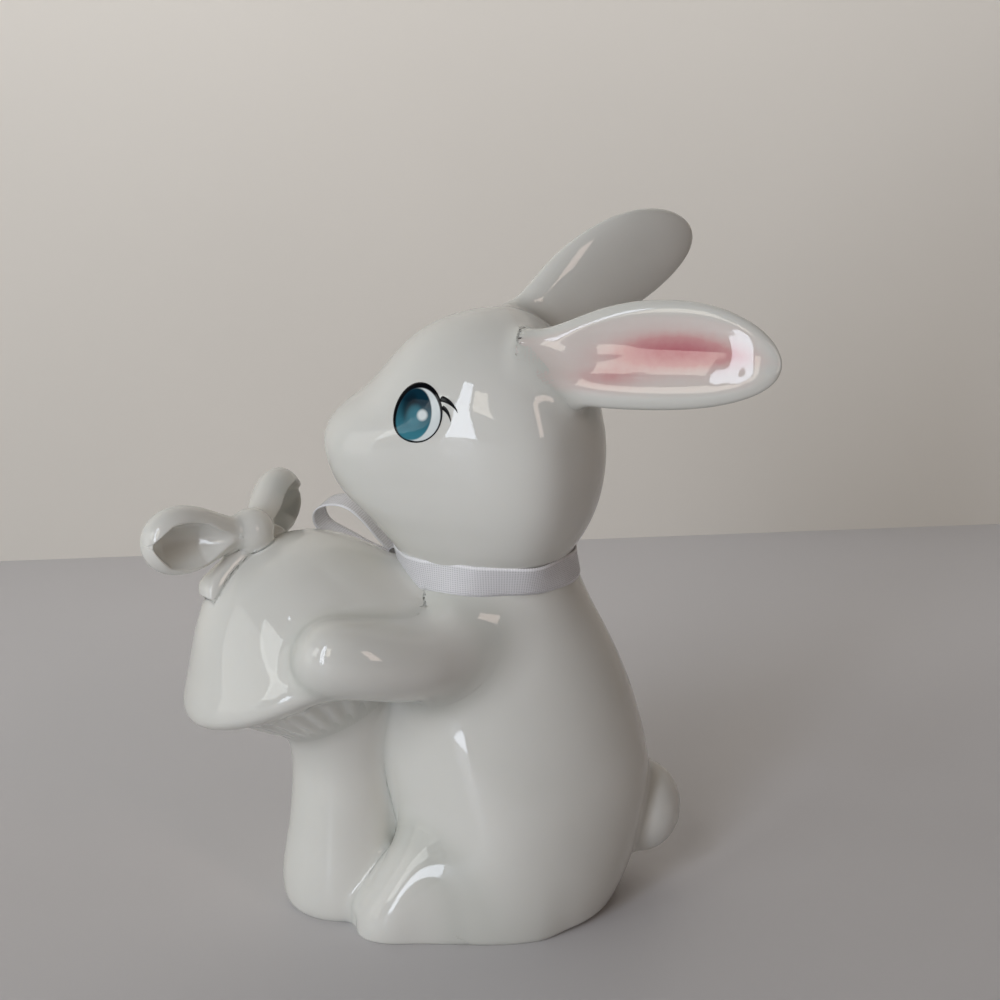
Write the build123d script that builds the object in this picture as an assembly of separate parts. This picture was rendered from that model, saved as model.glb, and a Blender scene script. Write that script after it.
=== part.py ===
from build123d import *
import math
import os

# Ceramic rabbit figurine that hugs a mushroom, with a ribbon tied round its neck.
# Millimetres, +Z up. The rabbit faces -X, so its left side is -Y.
# The origin is on the floor, in the middle of the base.

# Clay wall, neck and base
WALL = 3.4
SEAM_HEIGHT = 70.5
NECK_DEPTH = 34.6
NECK_WIDTH = 35.0
NECK_FORWARD = 2.0
BASE_ROUNDING = 1.6
VENT_RADIUS = 1.8
VENT_BACKSET = 9.0
STEM_VENT_RADIUS = 1.5

# Body
BODY_FRONT = 26.6
BODY_BACK = 31.2
BODY_WIDTH = 51.6

# Head
HEAD_HEIGHT = 53.3
HEAD_FRONT = 34.6
HEAD_BACK = 20.2
HEAD_WIDTH = 49.0
HEAD_ROLL = 8.0

# Ears: rise above level, spread away from straight back, and turn about their own length
EAR_LENGTH = 41.0
EAR_WIDTH = 20.0
EAR_THICKNESS = 7.4
EAR_ARCH = 1.6
EAR_HOLLOW = 3.0
EAR_RIM = 1.7
LEFT_EAR_RISE = 4.5
LEFT_EAR_SPREAD = 21.5
LEFT_EAR_TURN = 20.0
RIGHT_EAR_RISE = 20.5
RIGHT_EAR_SPREAD = 24.5
RIGHT_EAR_TURN = -2.0

# Printed eyes
EYE_WIDTH = 10.2
EYE_HEIGHT = 10.2
EYE_FORWARD = 8.6
EYE_RISE = 37.9
EYE_YAW = 33.0
DECAL_THICKNESS = 0.2

# Arms, which grow out of the body below the neck's seam
SHOULDER_DROP = 9.2
ARM_THICKNESS = 15.4
ARM_BOW_OUT = 6.5
ARM_SAG = 3.0

# Feet
FOOT_LENGTH = 34.0
FOOT_WIDTH = 18.4
FOOT_HEIGHT = 20.4
TOE_OVERHANG = 4.6

# Tail
TAIL_DEPTH = 17.8
TAIL_WIDTH = 19.0
TAIL_HEIGHT = 19.8

# Mushroom, which stands ahead of the belly with the middle of its rim below the neck's seam
STEM_AHEAD = 5.4
STEM_WAIST_RADIUS = 10.8
STEM_FOOT_RADIUS = 13.4
CAP_AHEAD = 11.4
CAP_DROP = 15.5
STEM_FORWARD = BODY_FRONT + STEM_AHEAD
CAP_FORWARD = BODY_FRONT + CAP_AHEAD
CAP_HEIGHT = SEAM_HEIGHT - CAP_DROP
CAP_TILT = 25.0
CAP_RADIUS = 28.1
CAP_DOME = 23.4
CAP_UNDERSIDE = 14.6
GILL_COUNT = 32
GILL_DEPTH = 0.7
GILL_THICKNESS = 1.5

# Clay bow on top of the mushroom
BOW_KNOT_RADIUS = 4.5
BOW_KNOT_LIFT = 3.6
BOW_LOOP_LENGTH = 23.6
BOW_LOOP_HEIGHT = 13.4
BOW_LOOP_DEPTH = 9.6
BOW_LOOP_WALL = 1.9
BOW_LEFT_SWING = 210.5
BOW_LEFT_RISE = 2.7
BOW_RIGHT_SWING = 70.0
BOW_RIGHT_RISE = 8.0
BOW_TAIL_LENGTH = 14.0
BOW_TAIL_WIDTH = 7.2
BOW_TAIL_THICKNESS = 4.4
BOW_LEFT_TAIL_SWING = 200.0
BOW_RIGHT_TAIL_SWING = 110.0

# Ribbon
RIBBON_WIDTH = 6.5
RIBBON_THICKNESS = 0.45
RIBBON_CLEARANCE = 0.3
RIBBON_LIFT = 0.6
RIBBON_DROP = 1.0
RIBBON_KNOT_SIZE = 4.6
RIBBON_KNOT_DEPTH = 3.6
RIBBON_KNOT_SWING = 24.0
RIBBON_KNOT_RISE = 0.8
RIBBON_LOOP_LENGTH = 18.8
RIBBON_LOOP_HEIGHT = 7.2
RIBBON_LEFT_LOOP_SWING = 157.0
RIBBON_LEFT_LOOP_RISE = 23.0
RIBBON_LEFT_LOOP_ROLL = 33.0
RIBBON_RIGHT_LOOP_SWING = 78.0
RIBBON_RIGHT_LOOP_RISE = 14.0
RIBBON_RIGHT_LOOP_ROLL = 84.0
RIBBON_UPPER_TAIL_LENGTH = 12.5
RIBBON_UPPER_TAIL_SWING = 36.0
RIBBON_LOWER_TAIL_LENGTH = 7.5
RIBBON_LOWER_TAIL_SWING = 32.0

# How far a cutting shape runs past what it cuts
OVERRUN = 2.0

# Body rings from the floor up: height, front reach, back reach, width
BODY_RING_SHARES = [
    (0.000, 0.790, 0.750, 0.940),
    (0.050, 0.790, 0.815, 0.975),
    (0.120, 0.785, 0.882, 0.995),
    (0.230, 0.810, 0.952, 1.000),
    (0.370, 0.905, 0.998, 0.995),
    (0.510, 0.985, 0.948, 0.955),
    (0.650, 1.000, 0.853, 0.880),
    (0.780, 0.930, 0.728, 0.780),
    (0.900, 0.800, 0.590, 0.708),
]

# Head rings from the neck up: height, front reach, back reach, width, snout fullness
HEAD_RING_SHARES = [
    (0.095, 0.606, 0.724, 0.735, 0.97),
    (0.180, 0.700, 0.812, 0.842, 0.93),
    (0.272, 0.818, 0.920, 0.932, 0.88),
    (0.366, 0.940, 0.980, 0.984, 0.84),
    (0.460, 0.995, 1.000, 1.000, 0.82),
    (0.553, 1.000, 0.985, 0.988, 0.82),
    (0.615, 0.945, 0.952, 0.966, 0.84),
    (0.680, 0.815, 0.908, 0.926, 0.90),
    (0.760, 0.694, 0.816, 0.842, 0.97),
    (0.844, 0.586, 0.670, 0.702, 1.00),
    (0.919, 0.452, 0.480, 0.520, 1.00),
    (0.972, 0.272, 0.255, 0.305, 1.00),
    (0.993, 0.140, 0.090, 0.140, 1.00),
]

# Where an ear grows: shares of the head's back reach, half width and height
EAR_ROOT_SHARES = (0.40, 0.56, 0.878)

# Ear slices: place along the ear, width, thickness, arch
EAR_SLICE_SHARES = [
    (-0.16, 0.52, 0.80, 0.00),
    (0.00, 0.70, 0.88, 0.05),
    (0.17, 0.89, 0.96, 0.50),
    (0.34, 0.99, 1.00, 0.88),
    (0.52, 1.00, 0.96, 1.00),
    (0.69, 0.92, 0.86, 0.90),
    (0.83, 0.74, 0.70, 0.62),
    (0.93, 0.50, 0.48, 0.30),
    (0.98, 0.27, 0.27, 0.08),
]

# Hollow of the ear: place along the ear, width, depth
EAR_HOLLOW_SHARES = [
    (0.03, 0.30, 0.55),
    (0.16, 0.74, 0.90),
    (0.34, 0.95, 1.00),
    (0.52, 1.00, 1.00),
    (0.68, 0.95, 0.90),
    (0.80, 0.76, 0.70),
    (0.90, 0.36, 0.34),
]

# Shoulder: shares of the body's back reach and half width
SHOULDER_SHARES = (-0.16, 0.27)

# Hand on the cap: shares of the cap's radius along and across, and of its dome
HAND_SHARES = (0.02, 0.90, 0.37)

# Arm slices from shoulder to hand: place, bow outwards, sag, thickness
ARM_SLICE_SHARES = [
    (0.00, 0.00, 0.00, 0.80),
    (0.17, 0.64, 0.60, 0.98),
    (0.36, 1.00, 1.20, 1.00),
    (0.56, 1.02, 1.00, 0.97),
    (0.74, 0.80, 0.60, 0.93),
    (0.87, 0.46, 0.30, 0.84),
    (0.95, 0.18, 0.12, 0.64),
    (0.988, 0.04, 0.03, 0.34),
]

# Foot: its middle as a share of the body's half width, and its toe's height
FOOT_SPREAD_SHARE = 0.57
TOE_HEIGHT_SHARE = 0.28

# Foot slices from heel to toe: place, width, height
FOOT_SLICE_SHARES = [
    (0.00, 0.80, 0.86),
    (0.30, 0.95, 1.00),
    (0.55, 1.00, 1.00),
    (0.70, 0.98, 0.90),
    (0.84, 0.90, 0.66),
    (0.94, 0.68, 0.44),
    (0.99, 0.36, 0.30),
]

# Tail: middle as shares of the body's back reach and seam height
TAIL_PLACE_SHARES = (0.945, 0.238)

# Stem outline from the floor up: share of the cap's height, share of the foot's flare
STEM_SHARES = [
    (0.000, 0.42),
    (0.015, 0.68),
    (0.045, 0.90),
    (0.100, 1.00),
    (0.200, 0.80),
    (0.320, 0.36),
    (0.440, 0.10),
    (0.550, 0.00),
    (0.650, 0.28),
    (0.760, 0.90),
    (0.940, 1.60),
]

# Dome outline from the crown to the rim: radius, height
DOME_SHARES = [
    (0.000, 1.000),
    (0.150, 0.985),
    (0.300, 0.943),
    (0.440, 0.865),
    (0.570, 0.740),
    (0.700, 0.565),
    (0.800, 0.405),
    (0.890, 0.262),
    (0.960, 0.150),
    (0.990, 0.085),
]

# Underside outline from the rim to the middle: radius, depth
UNDERSIDE_SHARES = [
    (0.965, 0.105),
    (0.800, 0.260),
    (0.640, 0.560),
    (0.440, 0.880),
    (0.000, 1.000),
]

# Bow loop slices from the knot out: place, height, depth
BOW_LOOP_SHARES = [
    (0.00, 0.34, 0.44),
    (0.20, 0.52, 0.62),
    (0.42, 0.82, 0.86),
    (0.64, 1.00, 1.00),
    (0.82, 0.90, 0.92),
    (0.93, 0.64, 0.68),
    (0.985, 0.34, 0.36),
]

# Bow tail slices from the knot out: place, width, thickness
BOW_TAIL_SHARES = [
    (0.00, 0.50, 0.60),
    (0.35, 0.62, 0.76),
    (0.70, 0.84, 0.92),
    (1.00, 1.00, 1.00),
]

# Ribbon tails: radius on the dome as a share of the cap's, for the upper and the lower tail
RIBBON_TAIL_RADIUS_SHARES = (0.74, 0.88)

# Ribbon loop: place along the loop and height off its middle line
RIBBON_LOOP_SHARES = [
    (0.00, 0.08),
    (0.16, 0.27),
    (0.36, 0.52),
    (0.62, 0.69),
    (0.86, 0.54),
    (0.99, 0.17),
    (0.93, -0.10),
    (0.66, -0.21),
    (0.32, -0.17),
    (0.00, -0.08),
]


def egg_ring(height, front, back, half_width, snout):
    """Closed outline of one level: round behind, and narrowed by snout in front."""
    points = []
    steps = 12
    for step in range(steps):
        angle = math.tau * step / steps
        reach = back if math.cos(angle) > 0 else front
        pinch = 1.0
        if math.cos(angle) < 0:
            pinch = 1.0 - (1.0 - snout) * abs(math.sin(2 * angle))
        points.append((reach * math.cos(angle), half_width * math.sin(angle) * pinch, height))
    return make_face(Spline(*points, periodic=True))


def neck_ring(height, grow):
    """The neck's outline, shared by the body's top and the head's bottom."""
    front = NECK_DEPTH / 2 + NECK_FORWARD + grow
    back = NECK_DEPTH / 2 - NECK_FORWARD + grow
    return egg_ring(height, front, back, NECK_WIDTH / 2 + grow, 1.0)


def body_form(grow, floor, top):
    """The body between two heights, swollen by grow."""
    rings = []
    for height, front, back, width in BODY_RING_SHARES:
        level = floor + height * (SEAM_HEIGHT - floor)
        half_width = BODY_WIDTH / 2 * width + grow
        rings.append(egg_ring(level, BODY_FRONT * front + grow, BODY_BACK * back + grow, half_width, 1.0))
    rings.append(neck_ring(SEAM_HEIGHT, grow))
    if top > SEAM_HEIGHT:
        rings.append(neck_ring(top, grow))
    return loft(rings)


def head_form(grow):
    """The head with a stub of neck that runs below the seam, swollen by grow."""
    rings = [neck_ring(SEAM_HEIGHT - 2 * OVERRUN, grow), neck_ring(SEAM_HEIGHT, grow)]
    for height, front, back, width, snout in HEAD_RING_SHARES:
        level = SEAM_HEIGHT + height * (HEAD_HEIGHT + grow)
        half_width = (HEAD_WIDTH / 2 + grow) * width
        rings.append(
            egg_ring(level, (HEAD_FRONT + grow) * front, (HEAD_BACK + grow) * back, half_width, snout)
        )
    crown = Vertex(0, 0, SEAM_HEIGHT + HEAD_HEIGHT + grow)
    return rolled(loft(rings + [crown]))


def rolled(shape):
    """Lean a piece of the head towards the rabbit's left shoulder."""
    return shape.rotate(Axis((0, 0, SEAM_HEIGHT), (1, 0, 0)), HEAD_ROLL)


def slices(points, half_widths, half_heights, up):
    """Ellipses square to a path, with their heights along up."""
    faces = []
    last = len(points) - 1
    for index, point in enumerate(points):
        along = (points[min(index + 1, last)] - points[max(index - 1, 0)]).normalized()
        plane = Plane(origin=point, x_dir=up.cross(along), z_dir=along)
        faces.append(plane * Ellipse(half_widths[index], half_heights[index]))
    return faces


def build_body():
    """Slip-cast body: an open-topped hollow with a vent hole in its base."""
    outer = body_form(0, 0, SEAM_HEIGHT)
    outer = fillet(outer.edges().group_by(Axis.Z)[0], BASE_ROUNDING)
    hollow = body_form(-WALL, WALL, SEAM_HEIGHT + OVERRUN)
    vent = Pos(VENT_BACKSET, 0, 0) * Cylinder(VENT_RADIUS, 2 * (WALL + OVERRUN))
    return outer - hollow - vent


def build_head(outer):
    """Slip-cast head, open at the neck where it is stuck to the body."""
    return split(outer - head_form(-WALL), Plane.XY.offset(SEAM_HEIGHT), Keep.TOP)


def build_ear(side, rise, spread, turn):
    """Leaf-shaped ear with a pressed hollow on its outer side and a fold along it."""
    back, across, up = EAR_ROOT_SHARES
    root = Vector(HEAD_BACK * back, side * HEAD_WIDTH / 2 * across, SEAM_HEIGHT + HEAD_HEIGHT * up)
    level = math.cos(math.radians(rise))
    along = Vector(
        level * math.cos(math.radians(spread)),
        side * level * math.sin(math.radians(spread)),
        math.sin(math.radians(rise)),
    )
    upright = (Vector(0, 0, 1) - along * along.Z).normalized()
    upright = upright.rotate(Axis((0, 0, 0), along), side * turn)
    outward = along.cross(upright) * -side
    sections = []
    for place, width, thickness, arch in EAR_SLICE_SHARES:
        middle = root + along * (EAR_LENGTH * place) + upright * (EAR_ARCH * arch)
        plane = Plane(origin=middle, x_dir=upright, z_dir=along)
        sections.append(plane * Ellipse(EAR_WIDTH / 2 * width, EAR_THICKNESS / 2 * thickness))
    ear = loft(sections + [Vertex(*(root + along * EAR_LENGTH))])
    cutters = []
    for place, width, depth in EAR_HOLLOW_SHARES:
        middle = root + along * (EAR_LENGTH * place) + upright * EAR_ARCH
        middle = middle + outward * (EAR_THICKNESS / 2)
        plane = Plane(origin=middle, x_dir=upright, z_dir=along)
        cutters.append(plane * Ellipse((EAR_WIDTH / 2 - EAR_RIM) * width, EAR_HOLLOW * depth))
    return rolled(ear - loft(cutters))


def build_eye(side, head):
    """Printed eye: a thin oval film that follows the cheek."""
    skin = head_form(DECAL_THICKNESS)
    yaw = math.radians(EYE_YAW)
    centre = Vector(-EYE_FORWARD, 0, SEAM_HEIGHT + EYE_RISE)
    gaze = Vector(-math.sin(yaw), side * math.cos(yaw), 0)
    plane = Plane(origin=centre, x_dir=(0, 0, 1), z_dir=gaze)
    punch = extrude(plane * Ellipse(EYE_HEIGHT / 2, EYE_WIDTH / 2), HEAD_WIDTH)
    return (skin & rolled(punch)) - head


def cap_plane():
    """The mushroom cap's own frame: its rim's middle, with Z through its crown."""
    tilt = math.radians(CAP_TILT)
    return Plane(
        origin=(-CAP_FORWARD, 0, CAP_HEIGHT),
        x_dir=(math.cos(tilt), 0, math.sin(tilt)),
        z_dir=(-math.sin(tilt), 0, math.cos(tilt)),
    )


def dome_height(radius):
    """Height of the dome over its rim's plane at a radius."""
    share = radius / CAP_RADIUS
    for (inner, high), (outer, low) in zip(DOME_SHARES, DOME_SHARES[1:]):
        if share <= outer:
            return CAP_DOME * (high + (low - high) * (share - inner) / (outer - inner))
    return 0


def cap_outline(shrink, lift):
    """Points of the cap from crown to rim, and of its underside from rim to middle."""
    radius = CAP_RADIUS - shrink
    dome = [(radius * r, 0, (CAP_DOME - shrink) * h) for r, h in DOME_SHARES]
    under = [(radius * r, 0, -(CAP_UNDERSIDE - shrink - lift) * d) for r, d in UNDERSIDE_SHARES]
    return dome, under


def cap_form(lift):
    """The whole cap as one turned solid in its own frame, with its underside lifted."""
    dome, under = cap_outline(0, lift)
    rim = Spline(*dome, (CAP_RADIUS, 0, 0), under[0], tangents=[(1, 0, 0), (-1, 0, -1)])
    return revolve(make_face([rim, Polyline(*under), Line(under[-1], dome[0])]), Axis.Z)


def cap_hollow_form():
    """The hollow inside the cap, with the clay's wall left all round."""
    dome, under = cap_outline(WALL, 0)
    return revolve(make_face(Polyline(*dome[::2], *under[1:], dome[0])), Axis.Z)


def build_gills():
    """Radial gills under the cap, reaching the full depth of its underside."""
    half = GILL_THICKNESS / 2
    edge = [(math.sqrt(x * x - half * half), 0, z) for x, _, z in cap_outline(0, 0)[1][:-1]]
    top_inner = (edge[-1][0], 0, 0)
    top_outer = (edge[0][0], 0, 0)
    blade = make_face(Polyline(*edge, top_inner, top_outer, edge[0]))
    gill = extrude(blade, half, both=True)
    return [Rot(0, 0, 360 * turn / GILL_COUNT) * gill for turn in range(GILL_COUNT)]


def stem_form():
    """The stem as a turned solid: a waist, a flared foot and a flare into the cap."""
    flare = STEM_FOOT_RADIUS - STEM_WAIST_RADIUS
    edge = [(STEM_WAIST_RADIUS + flare * share, 0, CAP_HEIGHT * height) for height, share in STEM_SHARES]
    face = make_face([
        Spline(*edge),
        Line(edge[-1], (0, 0, edge[-1][2])),
        Line((0, 0, edge[-1][2]), (0, 0, 0)),
        Line((0, 0, 0), edge[0]),
    ])
    return Pos(-STEM_FORWARD, 0, 0) * revolve(face, Axis.Z)


def build_stem(body_outer, cap_hollow):
    """Hollow stem with a vent hole in its foot, open into the cap."""
    bottom = (Align.CENTER, Align.CENTER, Align.MIN)
    hollow = Pos(-STEM_FORWARD, 0, WALL) * Cylinder(STEM_WAIST_RADIUS - WALL, CAP_HEIGHT, align=bottom)
    vent = Pos(-STEM_FORWARD, 0, 0) * Cylinder(STEM_VENT_RADIUS, 2 * (WALL + OVERRUN))
    return stem_form() - hollow - vent - cap_hollow - body_outer


def build_arm(side):
    """Arm from the shoulder, round the side of the cap, to a rounded hand."""
    back, across = SHOULDER_SHARES
    shoulder = Vector(BODY_BACK * back, side * BODY_WIDTH / 2 * across, SEAM_HEIGHT - SHOULDER_DROP)
    over, out, high = HAND_SHARES
    hand = cap_plane().from_local_coords(
        (CAP_RADIUS * over, side * CAP_RADIUS * out, CAP_DOME * high)
    )
    points = []
    radii = []
    for place, bow, sag, thickness in ARM_SLICE_SHARES:
        outwards = Vector(0, side * ARM_BOW_OUT * bow, -ARM_SAG * sag)
        points.append(shoulder + (hand - shoulder) * place + outwards)
        radii.append(ARM_THICKNESS / 2 * thickness)
    return loft(slices(points, radii, radii, Vector(0, 0, 1)) + [Vertex(*hand)])


def build_foot(side):
    """Foot that slopes from the ankle to a blunt toe and lies flat on the floor."""
    toe = -BODY_FRONT - TOE_OVERHANG
    middle = side * BODY_WIDTH / 2 * FOOT_SPREAD_SHARE
    sections = []
    for place, width, height in FOOT_SLICE_SHARES:
        tall = FOOT_HEIGHT * height
        origin = (toe + FOOT_LENGTH * (1 - place), middle, tall * TOE_HEIGHT_SHARE)
        plane = Plane(origin=origin, x_dir=(0, 1, 0), z_dir=(1, 0, 0))
        sections.append(plane * Ellipse(FOOT_WIDTH / 2 * width, tall * (1 - TOE_HEIGHT_SHARE)))
    tip = Vertex(toe, middle, FOOT_HEIGHT * TOE_HEIGHT_SHARE / 2)
    return loft(sections + [tip])


def floor_block():
    """Block under the floor that trims what reaches below it."""
    size = 2 * (BODY_FRONT + BODY_BACK)
    return Box(size, size, FOOT_HEIGHT, align=(Align.CENTER, Align.CENTER, Align.MAX))


def build_tail():
    """Round tail low on the back."""
    back, up = TAIL_PLACE_SHARES
    ball = scale(Sphere(1), by=(TAIL_DEPTH / 2, TAIL_WIDTH / 2, TAIL_HEIGHT / 2))
    return Pos(BODY_BACK * back, 0, SEAM_HEIGHT * up) * ball


def bow_centre():
    """Middle of the clay bow's knot, half sunk in the crown of the cap."""
    return cap_plane().from_local_coords((0, 0, CAP_DOME + BOW_KNOT_LIFT))


def build_bow_loop(swing, rise, side):
    """Cupped loop of the clay bow, open on the side that faces the other loop's front."""
    turn = math.radians(swing)
    lift = math.radians(rise)
    along = Vector(math.cos(turn) * math.cos(lift), math.sin(turn) * math.cos(lift), math.sin(lift))
    upright = (Vector(0, 0, 1) - along * along.Z).normalized()
    facing = along.cross(upright) * side
    outer = []
    pocket = []
    for place, height, depth in BOW_LOOP_SHARES:
        middle = bow_centre() + along * (BOW_LOOP_LENGTH * place)
        plane = Plane(origin=middle, x_dir=upright, z_dir=along)
        outer.append(plane * Ellipse(BOW_LOOP_HEIGHT / 2 * height, BOW_LOOP_DEPTH / 2 * depth))
        inset = bow_centre() + along * (BOW_LOOP_WALL + (BOW_LOOP_LENGTH - 2 * BOW_LOOP_WALL) * place)
        inset = inset + facing * (BOW_LOOP_DEPTH / 2)
        plane = Plane(origin=inset, x_dir=upright, z_dir=along)
        half_height = (BOW_LOOP_HEIGHT / 2 - BOW_LOOP_WALL) * height
        pocket.append(plane * Ellipse(half_height, (BOW_LOOP_DEPTH - BOW_LOOP_WALL) * depth))
    tip = Vertex(*(bow_centre() + along * BOW_LOOP_LENGTH))
    return loft(outer + [tip]) - loft(pocket)


def build_bow_tail(swing):
    """Tail of the clay bow, lying down the dome from the knot."""
    turn = math.radians(swing)
    frame = cap_plane()
    points = []
    for place, _, _ in BOW_TAIL_SHARES:
        radius = BOW_TAIL_LENGTH * place
        local = (radius * math.cos(turn), radius * math.sin(turn), dome_height(radius) + BOW_TAIL_THICKNESS / 4)
        points.append(frame.from_local_coords(local))
    widths = [BOW_TAIL_WIDTH / 2 * width for _, width, _ in BOW_TAIL_SHARES]
    heights = [BOW_TAIL_THICKNESS / 2 * thickness for _, _, thickness in BOW_TAIL_SHARES]
    return loft(slices(points, widths, heights, frame.z_dir))


def collar_plug():
    """Slice of the swollen neck and chin that the ribbon's outer face follows."""
    level = Pos(0, 0, SEAM_HEIGHT - RIBBON_DROP)
    slab = level * Box(2 * HEAD_WIDTH, 2 * HEAD_WIDTH, RIBBON_WIDTH, align=(Align.CENTER, Align.CENTER, Align.MIN))
    return slab & head_form(RIBBON_CLEARANCE + RIBBON_THICKNESS)


def ribbon_knot_centre():
    """Middle of the ribbon's knot, in front of the neck and a little to the right."""
    turn = math.radians(RIBBON_KNOT_SWING)
    reach = RIBBON_CLEARANCE + RIBBON_THICKNESS + RIBBON_KNOT_DEPTH / 2
    forward = NECK_FORWARD + (NECK_DEPTH / 2 + reach) * math.cos(turn)
    return Vector(-forward, (NECK_WIDTH / 2 + reach) * math.sin(turn), SEAM_HEIGHT + RIBBON_KNOT_RISE)


def build_ribbon_knot():
    """Knot of the ribbon's bow, a short wrap that stands against the collar."""
    wrap = extrude(Ellipse(RIBBON_KNOT_DEPTH / 2, RIBBON_KNOT_SIZE / 2), RIBBON_KNOT_SIZE / 2, both=True)
    return Pos(*ribbon_knot_centre()) * Rot(0, 0, -RIBBON_KNOT_SWING) * wrap


def band_face(points, thickness):
    """Thin face that follows an open curve through points, to both sides of it."""
    left = []
    right = []
    last = len(points) - 1
    for index, (x, y) in enumerate(points):
        ahead = points[min(index + 1, last)]
        behind = points[max(index - 1, 0)]
        run = math.hypot(ahead[0] - behind[0], ahead[1] - behind[1])
        across = (-(ahead[1] - behind[1]) / run, (ahead[0] - behind[0]) / run)
        left.append((x + across[0] * thickness / 2, y + across[1] * thickness / 2))
        right.append((x - across[0] * thickness / 2, y - across[1] * thickness / 2))
    edges = [Spline(*left), Line(left[-1], right[-1]), Spline(*right[::-1]), Line(right[0], left[0])]
    return make_face(edges)


def build_ribbon_loop(swing, rise, roll):
    """Loop of the ribbon's bow, a strip that leaves the knot and comes back to it."""
    turn = math.radians(swing)
    lift = math.radians(rise)
    along = Vector(math.cos(turn) * math.cos(lift), math.sin(turn) * math.cos(lift), math.sin(lift))
    upright = (Vector(0, 0, 1) - along * along.Z).normalized()
    upright = upright.rotate(Axis((0, 0, 0), along), roll)
    start = RIBBON_KNOT_SIZE / 2
    points = [
        (start + (RIBBON_LOOP_LENGTH - start) * place, RIBBON_LOOP_HEIGHT * height)
        for place, height in RIBBON_LOOP_SHARES
    ]
    frame = Plane(origin=ribbon_knot_centre(), x_dir=along, z_dir=along.cross(upright))
    return extrude(frame * band_face(points, RIBBON_THICKNESS), RIBBON_WIDTH / 2, both=True)


def build_ribbon_tail(radius_share, swing, length, steps=5):
    """Tail of the ribbon, lying on the far side of the dome."""
    frame = cap_plane()
    radius = CAP_RADIUS * radius_share
    points = []
    ups = []
    for step in range(steps + 1):
        turn = math.radians(swing) + length * step / steps / radius
        low = dome_height(radius + OVERRUN)
        high = dome_height(radius - OVERRUN)
        slope = math.atan2(high - low, 2 * OVERRUN)
        ray = Vector(math.cos(turn), math.sin(turn), 0)
        local = ray * radius + Vector(0, 0, dome_height(radius))
        up = ray * math.sin(slope) + Vector(0, 0, math.cos(slope))
        points.append(frame.from_local_coords(local + up * RIBBON_LIFT))
        ups.append(frame.from_local_coords(up) - frame.origin)
    faces = []
    for index, (point, up) in enumerate(zip(points, ups)):
        ahead = points[min(index + 1, steps)] - points[max(index - 1, 0)]
        plane = Plane(origin=point, x_dir=up.cross(ahead), z_dir=ahead)
        faces.append(plane * Rectangle(RIBBON_WIDTH, RIBBON_THICKNESS))
    return loft(faces)


body_outer = body_form(0, 0, SEAM_HEIGHT)
head_outer = head_form(0)
cap_hollow = cap_plane() * cap_hollow_form()
parts = {}
parts["body_casting"] = build_body()
parts["head_casting"] = build_head(head_outer)
parts["left_ear"] = build_ear(-1, LEFT_EAR_RISE, LEFT_EAR_SPREAD, LEFT_EAR_TURN) - head_outer
parts["right_ear"] = build_ear(1, RIGHT_EAR_RISE, RIGHT_EAR_SPREAD, RIGHT_EAR_TURN) - head_outer
parts["left_eye_decal"] = build_eye(-1, head_outer)
parts["right_eye_decal"] = build_eye(1, head_outer)
stem_outer = stem_form()
cap_outer = cap_plane() * cap_form(0)
gilled = cap_form(GILL_DEPTH).fuse(*build_gills())
parts["mushroom_cap"] = cap_plane() * gilled - cap_hollow - stem_outer - body_outer - head_outer
parts["mushroom_stem"] = build_stem(body_outer, cap_hollow)
parts["left_arm"] = build_arm(-1) - body_outer - cap_outer
parts["right_arm"] = mirror(parts["left_arm"], Plane.XZ)
parts["left_foot"] = build_foot(-1) - body_outer - stem_outer - floor_block()
parts["right_foot"] = mirror(parts["left_foot"], Plane.XZ)
parts["tail"] = build_tail() - body_outer
parts["bow_knot"] = Pos(*bow_centre()) * Sphere(BOW_KNOT_RADIUS) - cap_outer
knot_ball = parts["bow_knot"]
parts["bow_left_loop"] = build_bow_loop(BOW_LEFT_SWING, BOW_LEFT_RISE, -1) - knot_ball - cap_outer
parts["bow_right_loop"] = build_bow_loop(BOW_RIGHT_SWING, BOW_RIGHT_RISE, 1) - knot_ball - cap_outer
parts["bow_left_tail"] = build_bow_tail(BOW_LEFT_TAIL_SWING) - knot_ball - cap_outer - parts["bow_left_loop"]
parts["bow_right_tail"] = build_bow_tail(BOW_RIGHT_TAIL_SWING) - knot_ball - cap_outer - parts["bow_right_loop"]
collar_outer = collar_plug()
parts["ribbon_collar"] = collar_outer - head_form(RIBBON_CLEARANCE) - body_outer - cap_outer
parts["ribbon_knot"] = build_ribbon_knot() - collar_outer - cap_outer
for name, swing, rise, roll in (
    ("ribbon_left_loop", RIBBON_LEFT_LOOP_SWING, RIBBON_LEFT_LOOP_RISE, RIBBON_LEFT_LOOP_ROLL),
    ("ribbon_right_loop", RIBBON_RIGHT_LOOP_SWING, RIBBON_RIGHT_LOOP_RISE, RIBBON_RIGHT_LOOP_ROLL),
):
    parts[name] = build_ribbon_loop(swing, rise, roll) - parts["ribbon_knot"] - cap_outer - head_outer
upper_share, lower_share = RIBBON_TAIL_RADIUS_SHARES
parts["ribbon_upper_tail"] = build_ribbon_tail(upper_share, RIBBON_UPPER_TAIL_SWING, RIBBON_UPPER_TAIL_LENGTH)
parts["ribbon_upper_tail"] = parts["ribbon_upper_tail"] - parts["ribbon_left_loop"]
parts["ribbon_lower_tail"] = build_ribbon_tail(lower_share, RIBBON_LOWER_TAIL_SWING, RIBBON_LOWER_TAIL_LENGTH)

os.makedirs("parts", exist_ok=True)
for name, shape in parts.items():
    print(name, len(shape.solids()), round(shape.volume), shape.is_valid)
    export_step(shape, "parts/" + name + ".step")
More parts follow.
